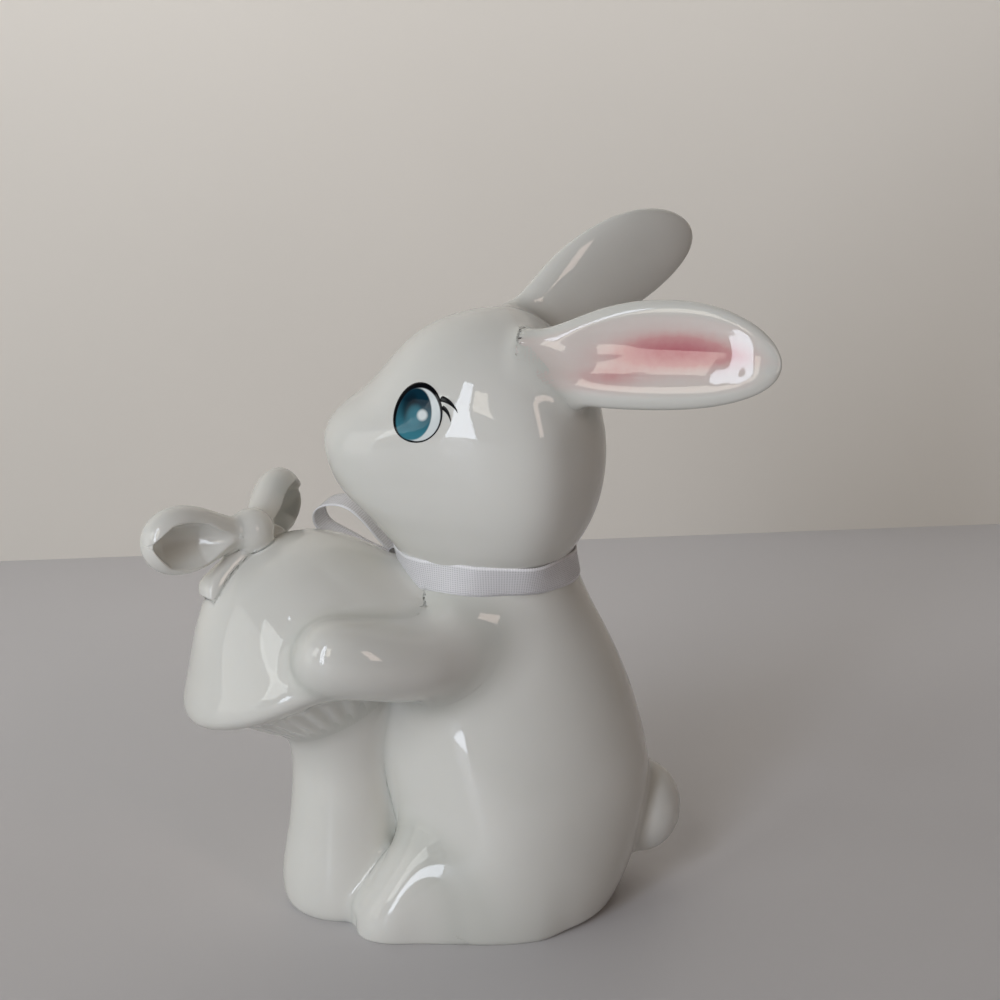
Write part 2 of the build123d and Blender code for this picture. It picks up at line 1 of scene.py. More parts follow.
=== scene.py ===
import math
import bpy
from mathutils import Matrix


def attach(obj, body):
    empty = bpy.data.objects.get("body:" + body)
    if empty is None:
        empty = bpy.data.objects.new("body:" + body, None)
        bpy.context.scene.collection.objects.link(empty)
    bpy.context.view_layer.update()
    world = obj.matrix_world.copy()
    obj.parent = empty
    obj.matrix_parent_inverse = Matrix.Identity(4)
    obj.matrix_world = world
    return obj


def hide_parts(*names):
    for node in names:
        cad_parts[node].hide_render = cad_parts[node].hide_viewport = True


bl_info = {
    "name": "Glazed Rabbit Figurine",
    "version": (1, 0, 0),
    "blender": (4, 5, 0),
    "location": "3D View > Sidebar > Figurine",
    "description": "Dresses the CAD model of a slip-cast rabbit that hugs a mushroom",
    "category": "Object",
}

import bmesh
import bpy
import numpy as np
from mathutils import Matrix, Vector
from mathutils.bvhtree import BVHTree

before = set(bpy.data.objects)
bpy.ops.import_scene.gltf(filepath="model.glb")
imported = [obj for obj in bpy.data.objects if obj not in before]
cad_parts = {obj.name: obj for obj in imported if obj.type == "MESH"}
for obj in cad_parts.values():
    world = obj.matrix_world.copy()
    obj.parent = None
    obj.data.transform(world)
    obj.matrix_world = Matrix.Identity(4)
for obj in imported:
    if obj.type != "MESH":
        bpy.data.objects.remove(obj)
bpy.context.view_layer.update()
MM = 0.001

# No distance between castings is looked at past this
FAR = 30 * MM

# Points round a ring of the body and head, and round an ear or a clay bow's loop
WIDE_COLUMNS = 200
PRESSED_COLUMNS = 128

# Rings along an arm, a foot and a clay bow's loop, and how closely rings crowd towards a tip
RING_COUNT = 110
TIP_CROWDING = 2.0

# Rounds that even out an ear's hollow, and how far each goes
HOLLOW_ROUNDS = 36
HOLLOW_STEP = 0.6

# Pooled glaze, as shares of a junction's reach past the middle of the junction: where it starts to dip, how
# fast and how far it dips, and where and over what width it gives way to the clay's own surface
DIP_START = 0.2
DIP_RATE = 0.3
DIP_LIMIT = 0.12
FADE_START = 0.45
FADE_WIDTH = 0.45

# Longest step of each round in millimetres while a surface is drawn out, and the miss that counts as none
POOL_STEPS = (1.4, 1.2, 1.0, 0.8, 0.6, 0.4, 0.3, 0.2)
POOL_MISS = 0.004 * MM

# Window lights: name, degrees from -Y towards +X, distance, lower and upper edge, width, colour, radiance
WINDOW_PANES = (
    ("frosted_pane", -57, 1.1, 0.30, 0.90, 0.28, "#F2F6F4", 3.4),
    ("clear_pane", -37, 1.1, 0.01, 1.35, 0.18, "#EAF2FF", 8.5),
    ("curtained_pane", -25, 1.1, 0.42, 1.15, 0.20, "#FFF6E8", 4.0),
    ("left_room_side", -80, 0.6, 0.0, 0.40, 0.40, "#FFFDF6", 1.0),
    ("warm_window", 33, 1.1, 0.34, 0.94, 0.17, "#FFE6D8", 4.2),
)

# Where the window lights face, and the dim light of the room
WINDOW_AIM = (-0.01, 0.0)
ROOM_COLOUR = "#EDE6DF"
ROOM_STRENGTH = 0.035

# Strip of light over the figurine that brightens the backdrop: size, place, power, height that it faces
GLOW_SIZE = (0.9, 0.05)
GLOW_PLACE = (0.0, 0.04, 0.36)
GLOW_POWER = 0.75
GLOW_AIM_HEIGHT = 0.34

# The rabbit faces -X, so its left side is -Y, and the floor is at z = 0.
# Shares are parts of the named size that they follow, as in the casting's own drawing.

# Body rings from the floor up: height, front reach, back reach, width
BODY_RING_SHARES = (
    (0.000, 0.790, 0.750, 0.940),
    (0.050, 0.790, 0.815, 0.975),
    (0.120, 0.785, 0.882, 0.995),
    (0.230, 0.810, 0.952, 1.000),
    (0.370, 0.905, 0.998, 0.995),
    (0.510, 0.985, 0.948, 0.955),
    (0.650, 1.000, 0.853, 0.880),
    (0.780, 0.930, 0.728, 0.780),
    (0.900, 0.800, 0.590, 0.708),
)

# Head rings from the neck up: height, front reach, back reach, width, snout fullness
HEAD_RING_SHARES = (
    (0.095, 0.606, 0.724, 0.735, 0.97),
    (0.180, 0.700, 0.812, 0.842, 0.93),
    (0.272, 0.818, 0.920, 0.932, 0.88),
    (0.366, 0.940, 0.980, 0.984, 0.84),
    (0.460, 0.995, 1.000, 1.000, 0.82),
    (0.553, 1.000, 0.985, 0.988, 0.82),
    (0.615, 0.945, 0.952, 0.966, 0.84),
    (0.680, 0.815, 0.908, 0.926, 0.90),
    (0.760, 0.694, 0.816, 0.842, 0.97),
    (0.844, 0.586, 0.670, 0.702, 1.00),
    (0.919, 0.452, 0.480, 0.520, 1.00),
    (0.972, 0.272, 0.255, 0.305, 1.00),
    (0.993, 0.140, 0.090, 0.140, 1.00),
)

# Where an ear grows: shares of the head's back reach, half width and height
EAR_ROOT_SHARES = (0.40, 0.56, 0.878)

# Ear slices: place along the ear, width, thickness, arch
EAR_SLICE_SHARES = (
    (-0.16, 0.52, 0.80, 0.00),
    (0.00, 0.70, 0.88, 0.05),
    (0.17, 0.89, 0.96, 0.50),
    (0.34, 0.99, 1.00, 0.88),
    (0.52, 1.00, 0.96, 1.00),
    (0.69, 0.92, 0.86, 0.90),
    (0.83, 0.74, 0.70, 0.62),
    (0.93, 0.50, 0.48, 0.30),
    (0.98, 0.27, 0.27, 0.08),
    (1.00, 0.00, 0.00, 0.00),
)

# Fold in the ear's hollow: its middle and reach along the ear
EAR_FOLD_PLACE = 0.16
EAR_FOLD_REACH = 0.42

# Pink sprayed in the ear: strength, place and reach along the ear, place and reach across it
SPRAY_SPOTS = (
    (0.80, 0.54, 0.27, 0.06, 0.30),
    (0.30, 0.24, 0.16, -0.40, 0.22),
)
SPRAY_MIST = 0.13

# How softly the rims of an ear and of a clay bow's loop are rounded
EAR_RIM_SOFTNESS = 1.3 * MM
LOOP_RIM_SOFTNESS = 1.1 * MM

# Length of neck that the head keeps below the seam, and how the haunch swell fades at the body's middle
NECK_STUB = 4 * MM
HAUNCH_FADE = 6 * MM

# Roundness of a foot's sole edge
SOLE_EDGE = 1.2 * MM

# Gills: share of the cap's radius where they start and end, and the share over which they rise and fade
GILL_START = 0.46
GILL_RISE = 0.14
GILL_END = 0.95
GILL_FADE = 0.10

# Pocket of a clay bow's loop: where along the loop it opens and closes, over what share, and its depth
POCKET_START = 0.22
POCKET_RISE = 0.25
POCKET_END = 0.955
POCKET_FADE = 0.16
POCKET_DEPTH = 0.86

# Knot of the ribbon: depth, height and width as shares of its sizes
WRAP_DEPTH = 0.40
WRAP_HEIGHT = 0.42
WRAP_WIDTH = 0.8

# How narrow a ribbon loop is gathered at the knot, and over what share of the loop it widens again
GATHERED_WIDTH = 0.45
GATHERED_REACH = 0.45

# Hollow of the ear: place along the ear, width, depth
EAR_HOLLOW_SHARES = (
    (-0.16, 0.30, 0.00),
    (0.03, 0.45, 0.35),
    (0.16, 0.74, 0.90),
    (0.34, 0.95, 1.00),
    (0.52, 1.00, 1.00),
    (0.68, 0.95, 0.90),
    (0.80, 0.76, 0.70),
    (0.90, 0.40, 0.30),
    (1.00, 0.20, 0.00),
)

# Shoulder: shares of the body's back reach and half width
SHOULDER_SHARES = (-0.16, 0.27)

# Hand on the cap: shares of the cap's radius along and across, and of its dome
HAND_SHARES = (0.02, 0.90, 0.37)

# Arm slices from shoulder to hand: place, bow outwards, sag, thickness
ARM_SLICE_SHARES = (
    (0.00, 0.00, 0.00, 0.80),
    (0.17, 0.64, 0.60, 0.98),
    (0.36, 1.00, 1.20, 1.00),
    (0.56, 1.02, 1.00, 0.97),
    (0.74, 0.80, 0.60, 0.93),
    (0.87, 0.46, 0.30, 0.84),
    (0.95, 0.18, 0.12, 0.64),
    (0.988, 0.04, 0.03, 0.34),
    (1.00, 0.00, 0.00, 0.00),
)

# Foot: its middle as a share of the body's half width, and its toe's height
FOOT_SPREAD_SHARE = 0.57
TOE_HEIGHT_SHARE = 0.28

# Foot slices from heel to toe: place, width, height
FOOT_SLICE_SHARES = (
    (0.00, 0.80, 0.86),
    (0.30, 0.95, 1.00),
    (0.55, 1.00, 1.00),
    (0.70, 0.98, 0.90),
    (0.84, 0.90, 0.66),
    (0.94, 0.68, 0.44),
    (0.99, 0.36, 0.30),
)

# Tail: middle as shares of the body's back reach and seam height
TAIL_PLACE_SHARES = (0.945, 0.238)

# Stem outline from the floor up: share of the cap's height, share of the foot's flare
STEM_SHARES = (
    (0.000, 0.42),
    (0.015, 0.68),
    (0.045, 0.90),
    (0.100, 1.00),
    (0.200, 0.80),
    (0.320, 0.36),
    (0.440, 0.10),
    (0.550, 0.00),
    (0.650, 0.28),
    (0.760, 0.90),
    (0.940, 1.60),
)

# Dome outline from the crown to the rim: radius, height
DOME_SHARES = (
    (0.000, 1.000),
    (0.150, 0.985),
    (0.300, 0.943),
    (0.440, 0.865),
    (0.570, 0.740),
    (0.700, 0.565),
    (0.800, 0.405),
    (0.890, 0.262),
    (0.960, 0.150),
    (0.990, 0.085),
    (1.000, 0.000),
)

# Underside outline from the rim to the middle: radius, depth
UNDERSIDE_SHARES = (
    (0.965, 0.105),
    (0.800, 0.260),
    (0.640, 0.560),
    (0.440, 0.880),
    (0.000, 1.000),
)

# Bow loop slices from the knot out: place, height, depth
BOW_LOOP_SHARES = (
    (0.00, 0.34, 0.44),
    (0.20, 0.52, 0.62),
    (0.42, 0.82, 0.86),
    (0.64, 1.00, 1.00),
    (0.82, 0.90, 0.92),
    (0.93, 0.64, 0.68),
    (0.985, 0.34, 0.36),
    (1.00, 0.00, 0.00),
)

# Bow tail slices from the knot out: place, width, thickness
BOW_TAIL_SHARES = (
    (0.00, 0.50, 0.60),
    (0.35, 0.62, 0.76),
    (0.70, 0.84, 0.92),
    (0.94, 1.00, 0.98),
    (1.00, 0.94, 0.60),
)

# Ribbon loop: place along the loop and height off its middle line
RIBBON_LOOP_SHARES = (
    (0.00, 0.08),
    (0.16, 0.27),
    (0.36, 0.52),
    (0.62, 0.69),
    (0.86, 0.54),
    (0.99, 0.17),
    (0.93, -0.10),
    (0.66, -0.21),
    (0.32, -0.17),
    (0.00, -0.08),
)

# Ribbon tails: radius on the dome as a share of the cap's
UPPER_TAIL_RADIUS_SHARE = 0.74
LOWER_TAIL_RADIUS_SHARE = 0.88


def linear(code):
    """Turn an sRGB hex colour into linear red, green and blue."""
    channels = []
    for start in (1, 3, 5):
        value = int(code[start:start + 2], 16) / 255
        channels.append(value / 12.92 if value <= 0.04045 else ((value + 0.055) / 1.055) ** 2.4)
    return tuple(channels)


def length(label, note, millimetres):
    """A size that a user may change, given here in millimetres."""
    return bpy.props.FloatProperty(
        name=label, description=note, default=millimetres * MM, unit="LENGTH", precision=5
    )


def turn(label, note, degrees):
    """An angle that a user may change, given here in degrees."""
    return bpy.props.FloatProperty(
        name=label, description=note, default=math.radians(degrees), subtype="ANGLE"
    )


def tint(label, note, code):
    """A colour that a user may change, given here as an sRGB hex code."""
    return bpy.props.FloatVectorProperty(
        name=label, description=note, default=linear(code), size=3, min=0.0, max=1.0, subtype="COLOR"
    )


class BodySizes(bpy.types.PropertyGroup):
    seam_height: length("Seam height", "Height of the seam between body and head", 70.5)
    neck_depth: length("Neck depth", "Front to back size of the neck", 34.6)
    neck_width: length("Neck width", "Side to side size of the neck", 35.0)
    neck_forward: length("Neck forward", "How far the neck stands in front of the base's middle", 2.0)
    front: length("Front reach", "How far the belly reaches forward", 26.6)
    back: length("Back reach", "How far the back reaches behind", 31.2)
    width: length("Width", "Side to side size of the body", 51.6)
    base_rounding: length("Base rounding", "Radius of the base's edge", 1.6)
    tail_depth: length("Tail depth", "Front to back size of the tail", 17.8)
    tail_width: length("Tail width", "Side to side size of the tail", 19.0)
    tail_height: length("Tail height", "Height of the tail", 19.8)
    haunch: length("Haunch", "How far the haunch swells out of the body's side", 2.2)
    haunch_back: length("Haunch back", "Place of the haunch behind the middle", 4.0)
    haunch_height: length("Haunch height", "Height of the haunch's middle", 18.0)
    haunch_reach: length("Haunch reach", "Reach of the haunch's swell", 18.0)


class HeadSizes(bpy.types.PropertyGroup):
    height: length("Height", "Height of the head above the seam", 53.3)
    front: length("Front reach", "How far the nose reaches forward", 34.6)
    back: length("Back reach", "How far the head reaches behind", 20.2)
    width: length("Width", "Side to side size of the head", 49.0)
    roll: turn("Roll", "How far the head leans to its left shoulder", 8.0)
    ear_length: length("Ear length", "Length of an ear", 41.0)
    ear_width: length("Ear width", "Width of an ear", 20.0)
    ear_thickness: length("Ear thickness", "Thickness of an ear", 7.4)
    ear_arch: length("Ear arch", "How far an ear arches upwards along its length", 1.6)
    ear_hollow: length("Ear hollow", "Depth of the hollow pressed into an ear", 3.0)
    ear_rim: length("Ear rim", "Width of the rim left round the hollow", 1.7)
    ear_fold: length("Ear fold", "Height of the fold that runs along the hollow", 0.8)
    left_ear_rise: turn("Left ear rise", "Rise of the left ear above level", 4.5)
    left_ear_spread: turn("Left ear spread", "Spread of the left ear away from straight back", 21.5)
    left_ear_turn: turn("Left ear turn", "Turn of the left ear about its own length", 20.0)
    right_ear_rise: turn("Right ear rise", "Rise of the right ear above level", 20.5)
    right_ear_spread: turn("Right ear spread", "Spread of the right ear away from straight back", 24.5)
    right_ear_turn: turn("Right ear turn", "Turn of the right ear about its own length", -2.0)
    eye_width: length("Eye width", "Width of a printed eye", 10.2)
    eye_height: length("Eye height", "Height of a printed eye", 10.2)
    eye_forward: length("Eye forward", "How far an eye stands in front of the base's middle", 8.6)
    eye_rise: length("Eye rise", "Height of an eye above the seam", 37.9)
    eye_yaw: turn("Eye yaw", "How far an eye looks forward", 33.0)
    print_thickness: length("Print thickness", "How far the printed film stands off the glaze", 0.08)


class LimbSizes(bpy.types.PropertyGroup):
    shoulder_drop: length("Shoulder drop", "How far a shoulder lies below the neck's seam", 9.2)
    arm_thickness: length("Arm thickness", "Thickness of an arm", 15.4)
    arm_bow: length("Arm bow", "How far an arm bows outwards", 6.5)
    arm_sag: length("Arm sag", "How far an arm hangs below a straight line", 3.0)
    foot_length: length("Foot length", "Length of a foot", 34.0)
    foot_width: length("Foot width", "Width of a foot", 18.4)
    foot_height: length("Foot height", "Height of a foot at the ankle", 20.4)
    toe_overhang: length("Toe overhang", "How far a toe stands in front of the belly", 4.6)


class MushroomSizes(bpy.types.PropertyGroup):
    stem_forward: length("Stem forward", "How far the stem stands in front of the base's middle", 32.0)
    stem_waist: length("Stem waist radius", "Radius of the stem at its waist", 10.8)
    stem_foot: length("Stem foot radius", "Radius of the stem at its foot", 13.4)
    cap_forward: length("Cap forward", "How far the cap stands in front of the base's middle", 38.0)
    cap_height: length("Cap height", "Height of the middle of the cap's rim", 55.0)
    cap_tilt: turn("Cap tilt", "How far the cap leans forward", 25.0)
    cap_radius: length("Cap radius", "Radius of the cap's rim", 28.1)
    cap_dome: length("Cap dome", "Height of the dome above the rim", 23.4)
    cap_underside: length("Cap underside", "Depth of the underside below the rim", 14.6)
    gill_count: bpy.props.IntProperty(
        name="Gill count", description="Number of gills under the cap", default=32, min=3
    )
    gill_depth: length("Gill depth", "How far a gill stands out under its glaze", 0.42)


class BowSizes(bpy.types.PropertyGroup):
    knot_radius: length("Knot radius", "Radius of the clay bow's knot", 4.5)
    knot_lift: length("Knot lift", "Height of the knot's middle above the cap's crown", 3.6)
    loop_length: length("Loop length", "Length of a loop of the clay bow", 23.6)
    loop_height: length("Loop height", "Height of a loop of the clay bow", 13.4)
    loop_depth: length("Loop depth", "Depth of a loop of the clay bow", 9.6)
    loop_wall: length("Loop wall", "Thickness of the clay round a loop's pocket", 1.9)
    left_swing: turn("Left swing", "Direction of the left loop, from straight back", 210.5)
    left_rise: turn("Left rise", "Rise of the left loop above level", 2.7)
    right_swing: turn("Right swing", "Direction of the right loop, from straight back", 70.0)
    right_rise: turn("Right rise", "Rise of the right loop above level", 8.0)
    tail_length: length("Tail length", "Length of a tail of the clay bow", 14.0)
    tail_width: length("Tail width", "Width of a tail of the clay bow", 7.2)
    tail_thickness: length("Tail thickness", "Thickness of a tail of the clay bow", 4.4)
    left_tail_swing: turn("Left tail swing", "Direction of the left tail on the dome", 200.0)
    right_tail_swing: turn("Right tail swing", "Direction of the right tail on the dome", 110.0)


class RibbonSizes(bpy.types.PropertyGroup):
    width: length("Width", "Width of the ribbon", 6.5)
    thickness: length("Thickness", "Thickness of the ribbon as drawn", 0.3)
    clearance: length("Clearance", "How far the ribbon stands off the neck", 0.45)
    ripple: length("Ripple", "Height of the small waves along the ribbon", 0.16)
    drop: length("Drop", "How far the ribbon's lower edge lies below the seam", 1.0)
    lift: length("Lift", "How far the ribbon's tails stand off the dome", 0.6)
    knot_size: length("Knot size", "Height of the ribbon's knot", 4.6)
    knot_depth: length("Knot depth", "Depth of the ribbon's knot", 3.6)
    knot_swing: turn("Knot swing", "Turn of the knot from straight ahead to the right", 24.0)
    knot_rise: length("Knot rise", "Height of the knot's middle above the seam", 0.8)
    loop_length: length("Loop length", "Length of a loop of the ribbon's bow", 18.8)
    loop_height: length("Loop height", "Height of a loop of the ribbon's bow", 8.4)
    left_swing: turn("Left loop swing", "Direction of the left loop, from straight back", 157.0)
    left_rise: turn("Left loop rise", "Rise of the left loop above level", 23.0)
    left_roll: turn("Left loop roll", "Roll of the left loop about its length", -6.0)
    right_swing: turn("Right loop swing", "Direction of the right loop, from straight back", 78.0)
    right_rise: turn("Right loop rise", "Rise of the right loop above level", 14.0)
    right_roll: turn("Right loop roll", "Roll of the right loop about its length", 84.0)
    upper_tail_length: length("Upper tail length", "Length of the upper tail", 12.5)
    upper_tail_swing: turn("Upper tail swing", "Where the upper tail starts on the dome", 36.0)
    lower_tail_length: length("Lower tail length", "Length of the lower tail", 7.5)
    lower_tail_swing: turn("Lower tail swing", "Where the lower tail starts on the dome", 32.0)


class Finish(bpy.types.PropertyGroup):
    glaze: tint("Glaze", "Colour of the white glaze", "#DFDED8")
    # Darker glaze colour for the creases at the junctions: partly thicker pooled glaze and partly painted
    # shade. It also tints the glaze's random clouds
    pooled_glaze_and_crease_shade: tint("Crevice", "Colour of the glaze where it pools in a crease", "#C6C7BF")
    airbrush: tint("Airbrush", "Pink at the heart of the ear's hollow", "#C4717C")
    airbrush_edge: tint("Airbrush edge", "Pink at the edge of the sprayed place", "#E7C6BF")
    print_line: tint("Print line", "Colour of the printed outline and lashes", "#0B0C10")
    iris_dark: tint("Iris dark", "Colour of the top of the iris", "#0D2F3E")
    iris_light: tint("Iris light", "Colour of the bottom of the iris", "#3F8090")
    eye_white: tint("Eye white", "Colour of the white of the eye", "#DDE4E4")
    ribbon: tint("Ribbon", "Colour of the organza's threads", "#F8F7FA")
    pooling: length("Pooling", "Radius of the glaze that softens a junction", 4.0)
    ripple: length("Glaze waviness", "Height of the glaze's slow waves", 0.03)


class StageSettings(bpy.types.PropertyGroup):
    floor: tint("Floor", "Colour of the table top", "#CCCACB")
    wall: tint("Wall", "Colour of the backdrop", "#DAD5CD")
    camera_distance: length("Camera distance", "Distance from the camera to the aim point", 345.0)
    camera_height: length("Aim height", "Height of the point that the camera looks at", 84.0)
    camera_azimuth: turn("Camera azimuth", "Turn of the camera round the figurine", -8.0)
    camera_elevation: turn("Camera elevation", "Height angle of the camera", 14.0)
    focal_length: bpy.props.FloatProperty(
        name="Focal length", description="Focal length of the camera's lens", default=62.1, unit="CAMERA"
    )
    wall_distance: length("Wall distance", "Distance from the figurine to the backdrop", 270.0)


SETTINGS = {
    "rabbit_body": BodySizes,
    "rabbit_head": HeadSizes,
    "rabbit_limbs": LimbSizes,
    "rabbit_mushroom": MushroomSizes,
    "rabbit_bow": BowSizes,
    "rabbit_ribbon": RibbonSizes,
    "rabbit_finish": Finish,
    "rabbit_stage": StageSettings,
}


def circle(count):
    """Angles of points spread evenly round a circle."""
    return np.arange(count) * math.tau / count


def spans_between(rows):
    """Distances from each row to the next."""
    return np.linalg.norm(np.diff(rows, axis=0), axis=1)


def smooth_rows(rows, places, closed=False, even=False):
    """Read a cubic curve with steady curvature through rows of numbers, at places from 0 to 1."""
    rows = np.asarray(rows, float)
    if closed:
        rows = np.vstack([rows, rows[:1]])
    spans = np.ones(len(rows) - 1) if even else spans_between(rows)
    knots = np.concatenate([[0.0], np.cumsum(spans)])
    last = len(rows) - 1
    rates = np.diff(rows, axis=0) / spans[:, None]
    system = np.zeros((last + 1, last + 1))
    right = np.zeros_like(rows)
    for row in range(1, last):
        system[row, row - 1] = 1 / spans[row - 1]
        system[row, row] = 2 / spans[row - 1] + 2 / spans[row]
        system[row, row + 1] = 1 / spans[row]
        right[row] = 3 * (rates[row - 1] / spans[row - 1] + rates[row] / spans[row])
    if closed:
        system[0, 0] = 2 / spans[0] + 2 / spans[-1]
        system[0, 1] = 1 / spans[0]
        system[0, last - 1] = 1 / spans[-1]
        right[0] = 3 * (rates[0] / spans[0] + rates[-1] / spans[-1])
        system[last, last] = 1
        system[last, 0] = -1
    else:
        system[0, :2] = 2, 1
        right[0] = 3 * rates[0]
        system[last, last - 1:] = 1, 2
        right[last] = 3 * rates[-1]
    slopes = np.linalg.solve(system, right)
    reach = np.asarray(places) * knots[-1]
    span = np.clip(np.searchsorted(knots, reach, side="right") - 1, 0, last - 1)
    step = spans[span]
    part = ((reach - knots[span]) / step)[:, None]
    step = step[:, None]
    result = rows[span] * (1 + 2 * part) * (1 - part) ** 2
    result += slopes[span] * step * part * (1 - part) ** 2
    result += rows[span + 1] * part ** 2 * (3 - 2 * part)
    result += slopes[span + 1] * step * part ** 2 * (part - 1)
    return result


def turned(points, centre, axis, angle):
    """Turn points about an axis through centre."""
    matrix = np.array(Matrix.Rotation(angle, 3, Vector(axis)))
    return (np.asarray(points) - centre) @ matrix.T + centre


def unit(vector):
    """The vector with length 1."""
    return np.asarray(vector, float) / np.linalg.norm(vector)


def heading(swing, rise):
    """The direction of a swing and a rise, and the upright direction across it."""
    along = np.array([math.cos(swing) * math.cos(rise), math.sin(swing) * math.cos(rise), math.sin(rise)])
    return along, unit(np.array([0, 0, 1]) - along * along[2])


class Form:
    """A closed surface of rings, each ring a row of points, with its two ends closed by poles."""

    def __init__(self, rings):
        rings = np.asarray(rings, float)
        rows, columns = rings.shape[:2]
        self.shape = (rows, columns)
        self.points = np.vstack([rings.reshape(-1, 3), rings[0].mean(axis=0), rings[-1].mean(axis=0)])
        column = np.arange(columns)
        after = (column + 1) % columns
        faces = []
        for row in range(rows - 1):
            low = row * columns
            high = low + columns
            faces += np.stack([low + column, low + after, high + after, high + column], axis=1).tolist()
        first = rows * columns
        top = (rows - 1) * columns
        faces += [[first, int(b), int(a)] for a, b in zip(column, after)]
        faces += [[first + 1, int(top + a), int(top + b)] for a, b in zip(column, after)]
        self.faces = faces
        if self.volume() < 0:
            self.faces = [face[::-1] for face in faces]
        self.values = {}

    def volume(self):
        """Volume inside the surface, negative where it is inside out."""
        quads = [face for face in self.faces if len(face) == 4]
        corners = [[a, b, c] for a, b, c, _ in quads] + [[a, c, d] for a, _, c, d in quads]
        corners += [face for face in self.faces if len(face) == 3]
        a, b, c = (self.points[index] for index in np.array(corners).T)
        return float(np.einsum("ij,ij->i", a, np.cross(b, c)).sum() / 6)

    def tree(self):
        """Search tree of the surface."""
        return BVHTree.FromPolygons(self.points.tolist(), self.faces)


def egg_rings(rows):
    """Rings from rows of height, front reach, back reach, half width and snout fullness."""
    rows = np.asarray(rows, float)
    angles = circle(12)
    reach = np.where(np.cos(angles) > 0, rows[:, 2:3], rows[:, 1:2])
    pinch = np.where(np.cos(angles) < 0, 1 - (1 - rows[:, 4:5]) * abs(np.sin(2 * angles)), 1.0)
    x = reach * np.cos(angles)
    y = rows[:, 3:4] * np.sin(angles) * pinch
    keys = np.concatenate([x, y], axis=0).T
    fine = smooth_rows(keys, np.arange(WIDE_COLUMNS) / WIDE_COLUMNS, closed=True, even=True)
    x, y = fine[:, :len(rows)].T, fine[:, len(rows):].T
    return np.stack([x, y, np.repeat(rows[:, :1], WIDE_COLUMNS, axis=1)], axis=2)


def tube_rings(rows, columns):
    """Elliptic rings from rows of centre, sideways half axis and upward half axis."""
    angles = circle(columns)[None, :, None]
    rows = np.asarray(rows, float)[:, None, :]
    return rows[..., :3] + rows[..., 3:6] * np.cos(angles) + rows[..., 6:9] * np.sin(angles)


def path_rows(centres, up, halves):
    """Rows for tube_rings that follow centres, with the half sizes across and upwards at each of them."""
    centres = np.array(centres)
    last = len(centres) - 1
    rows = []
    for index, (centre, (wide, tall)) in enumerate(zip(centres, halves)):
        along = unit(centres[min(index + 1, last)] - centres[max(index - 1, 0)])
        sideways = unit(np.cross(up, along))
        rows.append((*centre, *(sideways * wide), *(np.cross(along, sideways) * tall)))
    return rows


def rows_to_tip(rows, count):
    """Smooth rows up to a closed tip, set closer together towards it. The rows run on through the tip and
    back, so that it comes out round."""
    rows = np.asarray(rows, float)
    beyond = rows[-2].copy()
    beyond[3:] = -beyond[3:]
    rows = np.vstack([rows, beyond])
    spans = spans_between(rows)
    end = spans[:-1].sum() / spans.sum()
    return smooth_rows(rows, end * (1 - (1 - np.linspace(0, 1, count)) ** TIP_CROWDING))


def soft_least(first, second, reach):
    """The lesser of two heights, rounded where they cross."""
    blend = np.clip(reach - abs(first - second), 0, None) / reach
    return np.minimum(first, second) - blend * blend * reach / 4


def pressed_rings(rows, up, out, hollow, rim):
    """Rings with a hollow pressed into one side: rows hold centre, half width and half thickness, and hollow
    holds the hollow's half width, its depth, its shift and the height of its fold."""
    up, out = unit(up), unit(out)
    angles = circle(PRESSED_COLUMNS)
    rings = []
    for row, (hollow_width, depth, shift, fold) in zip(rows, hollow):
        width, thick = np.clip(row[3:5], 0, None)
        x = width * np.cos(angles)
        y = thick * np.sin(angles)
        inside = np.clip(1 - ((x - shift) / max(hollow_width, 1e-6)) ** 2, 0, None)
        floor = thick - depth * inside ** 0.62
        floor = floor + fold * np.exp(-((x - shift) / (0.16 * max(width, 1e-6))) ** 2)
        lowered = soft_least(y, np.where(inside > 0, floor, y + rim), min(rim, thick + 1e-6))
        y = np.where(np.sin(angles) > 0, np.minimum(y, lowered), y)
        rings.append(row[:3] + np.outer(x, up) + np.outer(y, out))
    return np.array(rings)


def neck_rows(sizes, heights):
    """Rings of the neck at some heights."""
    half_depth = sizes.neck_depth / 2
    front = half_depth + sizes.neck_forward
    back = half_depth - sizes.neck_forward
    return [(height, front, back, sizes.neck_width / 2, 1.0) for height in heights]


def body_form(sizes):
    """Slip-cast body with a flat base, an arched back and a neck."""
    rows = []
    for height, front, back, width in BODY_RING_SHARES:
        rows.append((
            sizes.seam_height * height, sizes.front * front, sizes.back * back, sizes.width / 2 * width, 1.0
        ))
    rows += neck_rows(sizes, [sizes.seam_height])
    rows = smooth_rows(rows, np.linspace(0, 1, 120) ** 1.25)
    low = np.clip(1 - rows[:, 0] / sizes.base_rounding, 0, 1)
    inset = sizes.base_rounding * (1 - np.sqrt(1 - low * low))
    rows[:, 1:4] -= inset[:, None]
    form = Form(egg_rings(rows))
    away = form.points[:, [0, 2]] - (sizes.haunch_back, sizes.haunch_height)
    swell = sizes.haunch * np.exp(-(away * away).sum(axis=1) / sizes.haunch_reach ** 2)
    form.points[:, 1] += swell * np.tanh(form.points[:, 1] / HAUNCH_FADE)
    return form


